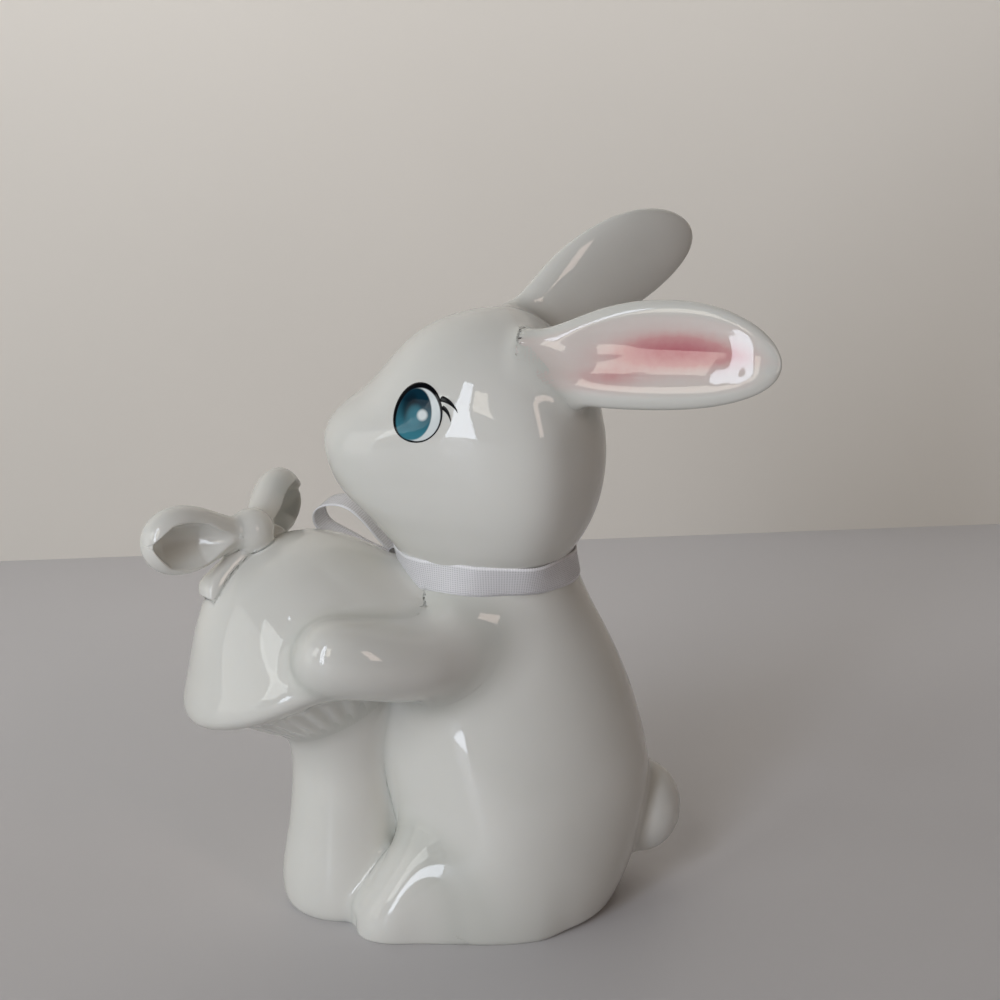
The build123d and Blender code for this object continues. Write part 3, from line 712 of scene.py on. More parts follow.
def head_form(sizes, head):
    """Slip-cast head with a snout, leant to one shoulder, and a stub of neck below the seam."""
    seam = sizes.seam_height
    rows = neck_rows(sizes, (seam - NECK_STUB, seam))
    for height, front, back, width, snout in HEAD_RING_SHARES:
        rows.append((
            seam + head.height * height, head.front * front, head.back * back, head.width / 2 * width, snout
        ))
    crown = (seam + head.height, 0.0, 0.0, 0.0, 1.0)
    over = list(rows[-1])
    over[1:4] = [-value for value in over[1:4]]
    rows = np.array(rows + [crown, over])
    spans = spans_between(rows[:, :4])
    end = spans[:-1].sum() / spans.sum()
    places = end * (1 - (1 - np.linspace(0, 1, 130)) ** 1.5)
    snout = np.interp(places * spans.sum(), np.concatenate([[0], np.cumsum(spans)]), rows[:, 4])
    smooth = smooth_rows(rows[:, :4], places)
    rings = egg_rings(np.column_stack([smooth, snout]))
    return Form(turned(rings, (0, 0, seam), (1, 0, 0), head.roll))


def ear_rings(sizes, head, side):
    """Rings of one ear from inside the head to the tip, and the place of each along the ear."""
    rise, spread, twist = head.right_ear_rise, head.right_ear_spread, head.right_ear_turn
    if side < 0:
        rise, spread, twist = head.left_ear_rise, head.left_ear_spread, head.left_ear_turn
    back, across, up = EAR_ROOT_SHARES
    level = sizes.seam_height + head.height * up
    root = np.array([head.back * back, side * head.width / 2 * across, level])
    along, upright = heading(side * spread, rise)
    upright = turned(upright, (0, 0, 0), along, side * twist)
    shape = []
    for place, width, thickness, arch in EAR_SLICE_SHARES:
        centre = root + along * head.ear_length * place + upright * head.ear_arch * arch
        shape.append((*centre, head.ear_width / 2 * width, head.ear_thickness / 2 * thickness))
    shape = rows_to_tip(shape, 130)
    places = (shape[:, :3] - root) @ along / head.ear_length
    hollow = np.array(EAR_HOLLOW_SHARES)
    widths = np.interp(places, hollow[:, 0], hollow[:, 1]) * (head.ear_width / 2 - head.ear_rim)
    depths = np.interp(places, hollow[:, 0], hollow[:, 2]) * head.ear_hollow
    shifts = np.full(len(places), head.ear_rim * 0.4)
    folds = head.ear_fold * np.clip(1 - abs(places - EAR_FOLD_PLACE) / EAR_FOLD_REACH, 0, 1) ** 1.2
    pressed = np.column_stack([widths, depths, shifts, folds])
    rings = pressed_rings(shape, upright, np.cross(along, upright) * -side, pressed, EAR_RIM_SOFTNESS)
    return turned(rings, (0, 0, sizes.seam_height), (1, 0, 0), head.roll), places


def ear_form(sizes, head, side):
    """Leaf-shaped ear with a pressed hollow, and how strongly each point is sprayed pink."""
    rings, places = ear_rings(sizes, head, side)
    angles = circle(PRESSED_COLUMNS)
    hollow = np.clip(np.sin(angles) * 4 - 1, 0, 1)[None, :, None]
    for _ in range(HOLLOW_ROUNDS):
        around = (np.roll(rings, 1, axis=1) + np.roll(rings, -1, axis=1)) / 2
        lengthwise = rings.copy()
        lengthwise[1:-1] = (rings[:-2] + rings[2:]) / 2
        rings = rings + hollow * ((around + lengthwise) / 2 - rings) * HOLLOW_STEP
    form = Form(rings)
    across = np.cos(angles)[None, :]
    inner = np.clip(np.sin(angles) * 2.2, 0, 1)[None, :]
    along = places[:, None]
    sprayed = 0
    for strength, place, long, aside, wide in SPRAY_SPOTS:
        off = -((along - place) / long) ** 2 - ((across - aside) / wide) ** 2
        sprayed = sprayed + strength * np.exp(off)
    inside = np.clip((0.86 - abs(across)) / 0.2, 0, 1) * np.clip((0.96 - along) / 0.12, 0, 1)
    sprayed = np.clip(sprayed + SPRAY_MIST * inside, 0, 1) * inner
    form.values["sprayed"] = np.concatenate([sprayed.ravel(), [0, 0]])
    return form


def cap_axes(mushroom):
    """The cap's middle and its three directions: back, left to right, and up through the crown."""
    tilt = mushroom.cap_tilt
    centre = np.array([-mushroom.cap_forward, 0, mushroom.cap_height])
    back = np.array([math.cos(tilt), 0, math.sin(tilt)])
    up = np.array([-math.sin(tilt), 0, math.cos(tilt)])
    return centre, back, np.cross(up, back), up


def in_cap(mushroom, points):
    """Points given in the cap's own frame, set in the figurine's."""
    centre, back, side, up = cap_axes(mushroom)
    points = np.asarray(points, float)
    return centre + points[..., :1] * back + points[..., 1:2] * side + points[..., 2:3] * up


def turned_rings(profile, columns):
    """Rings of a turned shape from a profile of radius and height."""
    angles = circle(columns)
    profile = np.asarray(profile)
    x = np.outer(profile[:, 0], np.cos(angles))
    y = np.outer(profile[:, 0], np.sin(angles))
    z = np.repeat(profile[:, 1:2], columns, axis=1)
    return np.stack([x, y, z], axis=2)


def cap_profile(mushroom):
    """Outline of the cap from crown over rim to the middle of its underside."""
    dome = [(mushroom.cap_radius * r, mushroom.cap_dome * h) for r, h in DOME_SHARES]
    under = [(mushroom.cap_radius * r, -mushroom.cap_underside * d) for r, d in UNDERSIDE_SHARES]
    points = [(-dome[1][0], dome[1][1])] + dome + under + [(-under[-2][0], under[-2][1])]
    spans = spans_between(points)
    first = spans[0] / spans.sum()
    last = 1 - spans[-1] / spans.sum()
    fine = smooth_rows(points, np.linspace(first, last, 170))
    fine[:, 0] = np.clip(fine[:, 0], 0, None)
    return fine


def cap_form(mushroom):
    """Mushroom cap as one turned shape."""
    return Form(in_cap(mushroom, turned_rings(cap_profile(mushroom), 220)))


def stem_form(mushroom):
    """Mushroom stem with a flared foot."""
    flare = mushroom.stem_foot - mushroom.stem_waist
    profile = [
        (mushroom.stem_waist + flare * swell, mushroom.cap_height * height) for height, swell in STEM_SHARES
    ]
    rings = turned_rings(smooth_rows(profile, np.linspace(0, 1, 110)), 150)
    return Form(rings - np.array([mushroom.stem_forward, 0, 0]))


def arm_form(body, limbs, mushroom, side):
    """Arm from the shoulder round the side of the cap to a rounded hand."""
    back, across = SHOULDER_SHARES
    level = body.seam_height - limbs.shoulder_drop
    shoulder = np.array([body.back * back, side * body.width / 2 * across, level])
    over, out, high = HAND_SHARES
    reach = mushroom.cap_radius
    hand = in_cap(mushroom, (reach * over, side * reach * out, mushroom.cap_dome * high))
    centres = []
    halves = []
    for place, bow, sag, thick in ARM_SLICE_SHARES:
        outwards = np.array([0, side * limbs.arm_bow * bow, -limbs.arm_sag * sag])
        centres.append(shoulder + (hand - shoulder) * place + outwards)
        halves.append([limbs.arm_thickness / 2 * thick] * 2)
    rows = path_rows(centres, (0, 0, 1), halves)
    return Form(tube_rings(rows_to_tip(rows, RING_COUNT), 96))


def foot_form(body, limbs, side):
    """Foot that slopes from the ankle to a blunt toe and lies flat on the floor."""
    toe = -body.front - limbs.toe_overhang
    middle = side * body.width / 2 * FOOT_SPREAD_SHARE
    rows = []
    for place, width, height in FOOT_SLICE_SHARES:
        tall = limbs.foot_height * height
        centre = (toe + limbs.foot_length * (1 - place), middle, tall * TOE_HEIGHT_SHARE)
        rows.append((*centre, 0, limbs.foot_width / 2 * width, 0, 0, 0, tall * (1 - TOE_HEIGHT_SHARE)))
    rows.append((toe, middle, limbs.foot_height * TOE_HEIGHT_SHARE / 2, 0, 0, 0, 0, 0, 0))
    rings = tube_rings(rows_to_tip(rows, RING_COUNT), 110)
    height = rings[..., 2]
    sunk = 0.25 * SOLE_EDGE
    rings[..., 2] = -soft_least(-height, np.zeros_like(height) - sunk, SOLE_EDGE)
    rings[..., 2] = np.clip(rings[..., 2] - sunk, 0, None)
    return Form(rings)


def tail_form(body):
    """Round tail low on the back."""
    back, up = TAIL_PLACE_SHARES
    angles = np.linspace(0, math.pi, 90)
    rings = turned_rings(np.column_stack([np.sin(angles), -np.cos(angles)]), 110)
    rings = rings * np.array([body.tail_depth, body.tail_width, body.tail_height]) / 2
    return Form(rings + np.array([body.back * back, 0, body.seam_height * up]))


def bow_centre(mushroom, bow):
    """Middle of the clay bow's knot."""
    return in_cap(mushroom, (0, 0, mushroom.cap_dome + bow.knot_lift))


def knot_form(mushroom, bow):
    """Round knot of the clay bow."""
    angles = np.linspace(0, math.pi, 60)
    profile = np.column_stack([np.sin(angles), -np.cos(angles)]) * bow.knot_radius
    return Form(turned_rings(profile, 72) + bow_centre(mushroom, bow))


def bow_loop_form(mushroom, bow, side):
    """Cupped loop of the clay bow, open towards the viewer's side."""
    swing, rise = (bow.left_swing, bow.left_rise) if side < 0 else (bow.right_swing, bow.right_rise)
    along, upright = heading(swing, rise)
    middle = bow_centre(mushroom, bow)
    shape = []
    for place, height, depth in BOW_LOOP_SHARES:
        centre = middle + along * bow.loop_length * place
        shape.append((*centre, bow.loop_height / 2 * height, bow.loop_depth / 2 * depth))
    shape = rows_to_tip(shape, RING_COUNT)
    places = (shape[:, :3] - middle) @ along / bow.loop_length
    open_part = np.clip((places - POCKET_START) / POCKET_RISE, 0, 1)
    open_part = open_part * np.clip((POCKET_END - places) / POCKET_FADE, 0, 1) ** 0.5
    half_height, half_depth = np.clip(shape[:, 3:5], 0, None).T
    widths = np.clip(half_height - bow.loop_wall, 0.2 * MM, None) * (0.35 + 0.65 * open_part)
    depths = (bow.loop_depth - bow.loop_wall) * POCKET_DEPTH * open_part * half_depth / (bow.loop_depth / 2)
    pressed = np.column_stack([widths, depths, -0.6 * MM * open_part, np.zeros(len(places))])
    return Form(pressed_rings(shape, upright, np.cross(along, upright) * side, pressed, LOOP_RIM_SOFTNESS))


def dome_height(mushroom, radius):
    """Height of the dome over its rim's plane at a radius."""
    profile = np.array(DOME_SHARES)
    return np.interp(radius / mushroom.cap_radius, profile[:, 0], profile[:, 1]) * mushroom.cap_dome


def bow_tail_form(mushroom, bow, swing):
    """Tail of the clay bow that lies down the dome from the knot."""
    centres = []
    halves = []
    for place, wide, thick in BOW_TAIL_SHARES:
        radius = bow.tail_length * place
        height = dome_height(mushroom, radius) + bow.tail_thickness / 4
        centres.append(in_cap(mushroom, (radius * math.cos(swing), radius * math.sin(swing), height)))
        halves.append((bow.tail_width / 2 * wide, bow.tail_thickness / 2 * thick))
    rows = path_rows(centres, cap_axes(mushroom)[3], halves)
    return Form(tube_rings(smooth_rows(rows, np.linspace(0, 1, 70)), 80))


def signed_distance(tree, points, limit):
    """Distance of each point from a surface, negative inside, with the direction away from it."""
    distance = np.full(len(points), limit)
    away = np.zeros((len(points), 3))
    for index, point in enumerate(points):
        near, normal, _, gap = tree.find_nearest(Vector(point), limit)
        if near is not None:
            inside = (Vector(point) - near).dot(normal) < 0
            distance[index] = -gap if inside else gap
            away[index] = normal
    return distance, away


def glazed_field(points, pieces, near, reaches):
    """Height over the glazed surface, its slope, and each piece's own distance, for points near several
    pieces. Two pieces are blended over their own reach, and the most filled blend counts."""
    gaps = np.full((len(pieces), len(points)), FAR)
    slopes = np.zeros((len(pieces), len(points), 3))
    for index, tree in enumerate(pieces):
        local = np.where(near[index])[0]
        gaps[index, local], slopes[index, local] = signed_distance(tree, points[local], FAR)
    field = np.full(len(points), np.inf)
    slope = np.zeros((len(points), 3))
    for (first, second), reach in reaches.items():
        a, b = gaps[first], gaps[second]
        blend = np.clip(reach - abs(a - b), 0, None) / reach
        joined = np.minimum(a, b) - blend * blend * reach / 4
        weight = np.where(a < b, 1 - blend / 2, blend / 2)[:, None]
        lower = joined < field
        field = np.where(lower, joined, field)
        slope = np.where(lower[:, None], slopes[first] * weight + slopes[second] * (1 - weight), slope)
    return field, slope, gaps


def pool_glaze(form, own, neighbours, reaches):
    """Draw a casting's surface out to the glazed surface where it meets its neighbours, so that the junction
    is a smooth hollow, and let it dip a little below that surface past the middle of the junction."""
    count = len(form.points)
    near = np.zeros((len(neighbours) + 1, count), bool)
    near[0] = True
    close = np.zeros(count, bool)
    for index, (tree, (low, high)) in enumerate(neighbours):
        reach = reaches[0, index + 1]
        boxed = np.where(np.all((form.points > low - reach) & (form.points < high + reach), axis=1))[0]
        gap, _ = signed_distance(tree, form.points[boxed], 2 * reach)
        near[index + 1, boxed[gap < 1.5 * reach]] = True
        close[boxed[(gap < reach) & (gap > -0.7 * reach)]] = True
    chosen = np.where(close)[0]
    if not len(chosen):
        return
    pieces = [own] + [tree for tree, _ in neighbours]
    near = near[:, chosen]
    start = form.points[chosen]
    place = start.copy()
    moving = np.arange(len(chosen))
    for step_limit in POOL_STEPS:
        field, slope, _ = glazed_field(place[moving], pieces, near[:, moving], reaches)
        steep = np.maximum(np.einsum("ij,ij->i", slope, slope), 0.12)
        step = -field[:, None] * slope / steep[:, None]
        size = np.linalg.norm(step, axis=1)
        place[moving] += step * np.minimum(1, step_limit * MM / np.maximum(size, 1e-9))[:, None]
        moving = moving[abs(field) > POOL_MISS]
    field, slope, gaps = glazed_field(place, pieces, near, reaches)
    partner = np.argmin(gaps[1:], axis=0)
    reach = np.array([reaches[0, index + 1] for index in range(len(neighbours))])[partner]
    past = np.clip(gaps[0] - np.min(gaps[1:], axis=0), 0, None) / reach
    outward_way = slope / np.maximum(np.linalg.norm(slope, axis=1), 1e-9)[:, None]
    over = np.clip(past - DIP_START, 0, None)
    place -= outward_way * (reach * np.minimum(DIP_RATE * over * over, DIP_LIMIT))[:, None]
    # The bases stay flat on the table: no glaze is left under them, or the figurine would stick in the kiln
    place[:, 2] = np.maximum(place[:, 2], 0)
    fade = np.clip((past - FADE_START) / FADE_WIDTH, 0, 1)
    fade = (fade * fade * (3 - 2 * fade))[:, None]
    filled = np.zeros(count)
    filled[chosen] = np.clip(np.linalg.norm(place - start, axis=1) / (1.2 * MM), 0, 1)
    form.points[chosen] = start * fade + place * (1 - fade)
    form.values["filled"] = settle(form, filled)


def settle(form, values):
    """Even out a value over neighbouring points of a form's rings."""
    rows, columns = form.shape
    grid = values[:rows * columns].reshape(rows, columns).copy()
    for _ in range(2):
        around = (np.roll(grid, 1, axis=1) + np.roll(grid, -1, axis=1)) / 2
        padded = np.vstack([grid[:1], grid, grid[-1:]])
        along = (padded[:-2] + padded[2:]) / 2
        grid = grid / 2 + around / 4 + along / 4
    result = values.copy()
    result[:rows * columns] = grid.ravel()
    return result


FORMS = {}


def build_forms(scene):
    """Make every casting's own form and pool the glaze where they meet."""
    body, head, limbs = scene.rabbit_body, scene.rabbit_head, scene.rabbit_limbs
    mushroom, bow = scene.rabbit_mushroom, scene.rabbit_bow
    forms = {
        "body_casting": body_form(body),
        "head_casting": head_form(body, head),
        "mushroom_cap": cap_form(mushroom),
        "mushroom_stem": stem_form(mushroom),
        "tail": tail_form(body),
        "bow_knot": knot_form(mushroom, bow),
    }
    for name, side, tail_swing in (("left", -1, bow.left_tail_swing), ("right", 1, bow.right_tail_swing)):
        forms[name + "_ear"] = ear_form(body, head, side)
        forms[name + "_arm"] = arm_form(body, limbs, mushroom, side)
        forms[name + "_foot"] = foot_form(body, limbs, side)
        forms["bow_" + name + "_loop"] = bow_loop_form(mushroom, bow, side)
        forms["bow_" + name + "_tail"] = bow_tail_form(mushroom, bow, tail_swing)
    trees = {name: form.tree() for name, form in forms.items()}
    boxes = {name: (form.points.min(axis=0), form.points.max(axis=0)) for name, form in forms.items()}
    pooling = scene.rabbit_finish.pooling
    for name, form in forms.items():
        others = [other for pair in JUNCTION_SHARES if name in pair for other in pair if other != name]
        order = [name] + others
        reaches = {}
        for (first, second), reach in JUNCTION_SHARES.items():
            if first in order and second in order:
                pair = sorted((order.index(first), order.index(second)))
                reaches[tuple(pair)] = pooling * reach
        if others:
            pool_glaze(form, trees[name], [(trees[other], boxes[other]) for other in others], reaches)
    FORMS.update(forms)


EARS = ("left_ear", "right_ear")
ARMS = ("left_arm", "right_arm")
FEET = ("left_foot", "right_foot")
BOW_ENDS = ("bow_left_loop", "bow_right_loop", "bow_left_tail", "bow_right_tail")

# Junctions: a casting, those that it meets, and the radius of the glaze there as a share of the pooling size
JUNCTIONS = (
    ("body_casting", ("head_casting",), 0.3),
    ("head_casting", EARS, 1.1),
    ("body_casting", ARMS + FEET, 2.2),
    ("body_casting", ("tail",), 0.6),
    ("body_casting", ("mushroom_cap",), 1.2),
    ("body_casting", ("mushroom_stem",), 0.9),
    ("mushroom_cap", ("mushroom_stem",), 1.0),
    ("mushroom_cap", ARMS, 1.2),
    ("mushroom_stem", FEET, 0.8),
    ("mushroom_cap", ("bow_knot",) + BOW_ENDS, 0.4),
    ("bow_knot", BOW_ENDS, 0.4),
    ("bow_left_loop", ("bow_left_tail",), 0.4),
    ("bow_right_loop", ("bow_right_tail",), 0.4),
)
JUNCTION_SHARES = {(casting, other): reach for casting, others, reach in JUNCTIONS for other in others}


def smooth_mesh(name, points, faces, values):
    """A smooth mesh from points and faces, with a number for each point under each label."""
    mesh = bpy.data.meshes.new(name)
    mesh.from_pydata(np.asarray(points).tolist(), [], faces)
    mesh.polygons.foreach_set("use_smooth", [True] * len(mesh.polygons))
    for label, numbers in values.items():
        attribute = mesh.attributes.new(label, "FLOAT", "POINT")
        attribute.data.foreach_set("value", np.asarray(numbers, float))
    return mesh


def add_piece(name, mesh, material, nodes):
    """Make an object of a mesh, and let it stand for its CAD nodes."""
    mesh.materials.append(material)
    piece = bpy.data.objects.new(name, mesh)
    bpy.context.scene.collection.objects.link(piece)
    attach(piece, "root")
    if nodes:
        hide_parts(*nodes)


def add_printed(name, points, faces, uvs, material, slot, nodes):
    """Make a closed piece whose material reads flat places from a map named flat."""
    mesh = smooth_mesh(name, points, faces, {})
    layer = mesh.uv_layers.new(name="flat")
    corner = np.empty(len(mesh.loops), int)
    mesh.loops.foreach_get("vertex_index", corner)
    layer.data.foreach_set("uv", np.asarray(uvs, float)[corner].ravel())
    shape = bmesh.new()
    shape.from_mesh(mesh)
    bmesh.ops.recalc_face_normals(shape, faces=shape.faces)
    shape.to_mesh(mesh)
    shape.free()
    add_piece(name, mesh, material, nodes)


def casting_mesh(name, labels):
    """Mesh of one casting with the values that its material or its tree reads."""
    form = FORMS[name]
    values = {label: form.values.get(label, np.zeros(len(form.points))) for label in labels}
    return smooth_mesh("glazed_" + name, form.points, form.faces, values)


def feed(tree, node, inputs):
    """Link or set a node's inputs, given in order or by key. An output is linked, a node stands for its
    first output in use, and anything else is set as the input's own value."""
    for key, source in inputs.items() if isinstance(inputs, dict) else enumerate(inputs):
        if isinstance(source, bpy.types.Node):
            source = next(output for output in source.outputs if output.enabled)
        if isinstance(source, bpy.types.NodeSocket):
            tree.links.new(source, node.inputs[key])
        else:
            node.inputs[key].default_value = source


def add_node(tree, kind, inputs=(), **settings):
    """Add a node with its settings, and feed its inputs."""
    node = tree.nodes.new(kind)
    for name, value in settings.items():
        setattr(node, name, value)
    feed(tree, node, inputs)
    return node


def new_material(name):
    """A new node material with its principled shader and that shader's tree."""
    material = bpy.data.materials.new(name)
    material.use_nodes = True
    shader = material.node_tree.nodes["Principled BSDF"]
    return material, material.node_tree, shader


def opaque(colour):
    """A colour with full alpha."""
    return (*colour, 1.0)


def clear_glaze_over_white_clay(finish):
    """Earthenware dipped in clear glaze and fired: white, glass smooth, a little darker where it pools in
    the creases, which is partly painted shade, with the slow waves that melted glaze keeps and pink sprayed
    under it in the ear."""
    material, tree, shader = new_material("clear_glaze_over_white_clay")
    filled = add_node(tree, "ShaderNodeAttribute", attribute_name="filled").outputs["Fac"]
    sprayed = add_node(tree, "ShaderNodeAttribute", attribute_name="sprayed").outputs["Fac"]
    place = add_node(tree, "ShaderNodeTexCoord").outputs["Object"]
    cloud = add_node(tree, "ShaderNodeTexNoise", {"Vector": place, "Scale": 45.0, "Detail": 2.0})
    mottle = add_node(tree, "ShaderNodeMapRange", (cloud, 0.35, 0.75, 0.0, 0.22))
    # Painted shade: the glaze is darkened towards the crease colour where a junction was filled, partly for
    # the thicker pooled glaze and partly for the shade that falls in the crease
    pooled_glaze_and_shade = add_node(tree, "ShaderNodeMath", (filled, 0.55), operation="MULTIPLY")
    depth = add_node(tree, "ShaderNodeMath", (pooled_glaze_and_shade, mottle), operation="ADD", use_clamp=True)
    colours = {0: depth, 6: opaque(finish.glaze), 7: opaque(finish.pooled_glaze_and_crease_shade)}
    white = add_node(tree, "ShaderNodeMix", colours, data_type="RGBA")
    grain = add_node(tree, "ShaderNodeTexNoise", {"Vector": place, "Scale": 700.0, "Detail": 3.0})
    speckle = add_node(tree, "ShaderNodeMath", (grain, 0.35, -0.17), operation="MULTIPLY_ADD")
    dusted = add_node(
        tree, "ShaderNodeMath", (speckle, sprayed, sprayed), operation="MULTIPLY_ADD", use_clamp=True
    )
    colours = {0: dusted, 6: opaque(finish.airbrush_edge), 7: opaque(finish.airbrush)}
    pink = add_node(tree, "ShaderNodeMix", colours, data_type="RGBA")
    cover = add_node(tree, "ShaderNodeMapRange", (dusted, 0.02, 0.5, 0.0, 1.0))
    waves = add_node(tree, "ShaderNodeTexNoise", {"Vector": place, "Scale": 110.0, "Detail": 1.0})
    feed(tree, shader, {
        "Base Color": add_node(tree, "ShaderNodeMix", {0: cover, 6: white, 7: pink}, data_type="RGBA"),
        "Normal": add_node(
            tree, "ShaderNodeBump", {"Height": waves, "Strength": 1.0, "Distance": finish.ripple}
        ),
        "Roughness": 0.04,
        "IOR": 1.5,
        "Subsurface Weight": 0.12,
        "Subsurface Radius": (0.0012, 0.0010, 0.0008),
        "Subsurface Scale": 1.0,
    })
    return material


def oval(tree, across, up, centre, half, soft):
    """Mask that is 1 inside an oval and falls to 0 over a soft edge."""
    parts = []
    for source, middle, size in zip((across, up), centre, half):
        offset = add_node(tree, "ShaderNodeMath", (source, middle), operation="SUBTRACT")
        scaled = add_node(tree, "ShaderNodeMath", (offset, size), operation="DIVIDE")
        parts.append(add_node(tree, "ShaderNodeMath", (scaled, 2.0), operation="POWER"))
    total = add_node(tree, "ShaderNodeMath", parts, operation="ADD")
    ends = (total, 1 + soft, 1 - soft, 0.0, 1.0)
    return add_node(tree, "ShaderNodeMapRange", ends, interpolation_type="SMOOTHSTEP")


def fired_eye_print(finish):
    """Ceramic transfer fired on: flat printed colours, with less gloss than the glaze round them, so that
    the window's reflection stays off the iris."""
    material, tree, shader = new_material("fired_eye_print")
    flat = add_node(tree, "ShaderNodeUVMap", uv_map="flat")
    parts = add_node(tree, "ShaderNodeSeparateXYZ", (flat,)).outputs
    white, line, light = opaque(finish.eye_white), opaque(finish.print_line), opaque(finish.iris_light)
    shade = add_node(tree, "ShaderNodeMapRange", (parts["Y"], -0.70, 0.35, 1.0, 0.0))
    iris = add_node(
        tree, "ShaderNodeMix", {0: shade, 6: opaque(finish.iris_dark), 7: light}, data_type="RGBA"
    )
    # Each layer of the print: middle, half size, softness of its edge, colour, strength
    layers = (
        ((0.05, -0.05), (0.88, 0.88), 0.05, white, 1.0),
        ((-0.13, -0.06), (0.72, 0.86), 0.08, iris, 1.0),
        ((-0.36, 0.16), (0.30, 0.42), 0.8, line, 0.55),
        ((-0.10, -0.10), (0.30, 0.34), 0.9, light, 0.75),
        ((0.22, -0.02), (0.20, 0.18), 0.7, white, 0.95),
    )
    printed = line
    for centre, half, soft, colour, strength in layers:
        mask = oval(tree, parts["X"], parts["Y"], centre, half, soft)
        amount = add_node(tree, "ShaderNodeMath", (mask, strength), operation="MULTIPLY")
        printed = add_node(tree, "ShaderNodeMix", {0: amount, 6: printed, 7: colour}, data_type="RGBA")
    feed(tree, shader, {"Base Color": printed, "Roughness": 0.08, "Specular IOR Level": 0.2, "IOR": 1.5})
    return material


def woven_organza(finish):
    """Sheer ribbon woven of fine stiff threads: half see-through, denser at its closed edges, with the
    glitter of metallic threads that run along it."""
    material, tree, shader = new_material("woven_organza")
    flat = add_node(tree, "ShaderNodeUVMap", uv_map="flat")
    parts = add_node(tree, "ShaderNodeSeparateXYZ", (flat,)).outputs
    threads = []
    for source, spacing in ((parts["X"], 0.42 * MM), (parts["Y"], 0.5 * MM)):
        phase = add_node(tree, "ShaderNodeMath", (source, math.tau / spacing), operation="MULTIPLY")
        threads.append(add_node(tree, "ShaderNodeMath", (phase,), operation="SINE"))
    weave = add_node(tree, "ShaderNodeMath", threads, operation="MAXIMUM")
    edge = add_node(tree, "ShaderNodeMath", (parts["X"],), operation="ABSOLUTE")
    closed_edge = (edge, 2.6 * MM, 2.95 * MM, 0.0, 0.35)
    selvage = add_node(tree, "ShaderNodeMapRange", closed_edge, interpolation_type="SMOOTHSTEP")
    body = add_node(tree, "ShaderNodeMapRange", (weave, -1.0, 1.0, 0.50, 0.82))
    flecks = add_node(tree, "ShaderNodeTexVoronoi", {"Vector": flat, "Scale": 1500.0})
    sparkle = add_node(tree, "ShaderNodeMapRange", (flecks, 0.30, 0.12, 0.0, 1.0))
    colours = {0: sparkle, 6: opaque(finish.ribbon), 7: (1.0, 1.0, 1.0, 1.0)}
    feed(tree, shader, {
        "Base Color": add_node(tree, "ShaderNodeMix", colours, data_type="RGBA"),
        "Roughness": add_node(tree, "ShaderNodeMapRange", (sparkle, 0.0, 1.0, 0.36, 0.12)),
        "Alpha": add_node(tree, "ShaderNodeMath", (body, selvage), operation="ADD", use_clamp=True),
        "Normal": add_node(
            tree, "ShaderNodeBump", {"Height": weave, "Strength": 0.6, "Distance": 0.08 * MM}
        ),
        "Specular IOR Level": 0.9,
        "Sheen Weight": 0.4,
        "Sheen Roughness": 0.35,
    })
    return material


MATERIALS = {}


def material_of(scene, maker):
    """The material that a maker function gives, made once."""
    if maker.__name__ not in MATERIALS:
        MATERIALS[maker.__name__] = maker(scene.rabbit_finish)
    return MATERIALS[maker.__name__]


def figurine_hit(names):
    """Search tree of some finished castings together."""
    points = []
    faces = []
    for name in names:
        start = len(points)
        points += FORMS[name].points.tolist()
        faces += [[corner + start for corner in face] for face in FORMS[name].faces]
    return BVHTree.FromPolygons(points, faces)


def eye_frame(scene, side):
    """Middle, across, up and gaze of a printed eye."""
    body, head = scene.rabbit_body, scene.rabbit_head
    gaze = np.array([-math.sin(head.eye_yaw), side * math.cos(head.eye_yaw), 0])
    across = np.cross((0, 0, 1), gaze)
    centre = np.array([-head.eye_forward, 0, body.seam_height + head.eye_rise])
    seam = (0, 0, body.seam_height)
    spun = [turned(vector, (0, 0, 0), (1, 0, 0), head.roll) for vector in (across, (0, 0, 1), gaze)]
    return turned(centre, seam, (1, 0, 0), head.roll), *spun


def on_cheek(tree, eye, head, spots, lift):
    """Points of the print's flat drawing laid on the cheek, lifted off it."""
    centre, across, up, gaze = eye
    result = []
    for u, v in spots:
        start = centre + across * (u * head.eye_width / 2) + up * (v * head.eye_height / 2)
        far = start + gaze * head.width
        place, normal, _, _ = tree.ray_cast(Vector(far), Vector(-gaze))
        result.append(np.array(place) + np.array(normal) * lift)
    return np.array(result)


def film(tree, eye, head, rings):
    """A closed film over rings of the flat drawing, from its outer edge to its middle."""
    rows = len(rings)
    columns = len(rings[0])
    spots = np.array(rings).reshape(-1, 2)
    top = on_cheek(tree, eye, head, spots, head.print_thickness)
    bottom = on_cheek(tree, eye, head, spots[:columns], -head.print_thickness)
    points = np.vstack([top, bottom])
    faces = []
    for row in range(rows - 1):
        for column in range(columns):
            after = (column + 1) % columns
            low = row * columns
            faces.append([low + column, low + after, low + columns + after, low + columns + column])
    base = rows * columns
    faces.append([(rows - 1) * columns + column for column in range(columns)])
    for column in range(columns):
        after = (column + 1) % columns
        faces.append([base + column, base + after, after, column])
    faces.append([base + column for column in range(columns)][::-1])
    uvs = np.vstack([spots, spots[:columns]])
    return points, faces, uvs


class CastingOperator:
    """What the operators of the castings share."""

    bl_options = {"REGISTER", "UNDO"}
    castings = ()

    def execute(self, context):
        if not FORMS:
            build_forms(context.scene)
        glaze = material_of(context.scene, clear_glaze_over_white_clay)
        for name in self.castings:
            mesh = casting_mesh(name, ("filled", "sprayed"))
            add_piece("glazed_" + name, mesh, glaze, [name])
        return {"FINISHED"}


class OBJECT_OT_rabbit_body(CastingOperator, bpy.types.Operator):
    """Make the glazed body with its tail"""

    bl_idname = "object.rabbit_body"
    bl_label = "Body and tail"
    castings = ("body_casting", "tail")


class OBJECT_OT_rabbit_head(CastingOperator, bpy.types.Operator):
    """Make the glazed head"""

    bl_idname = "object.rabbit_head"
    bl_label = "Head"
    castings = ("head_casting",)


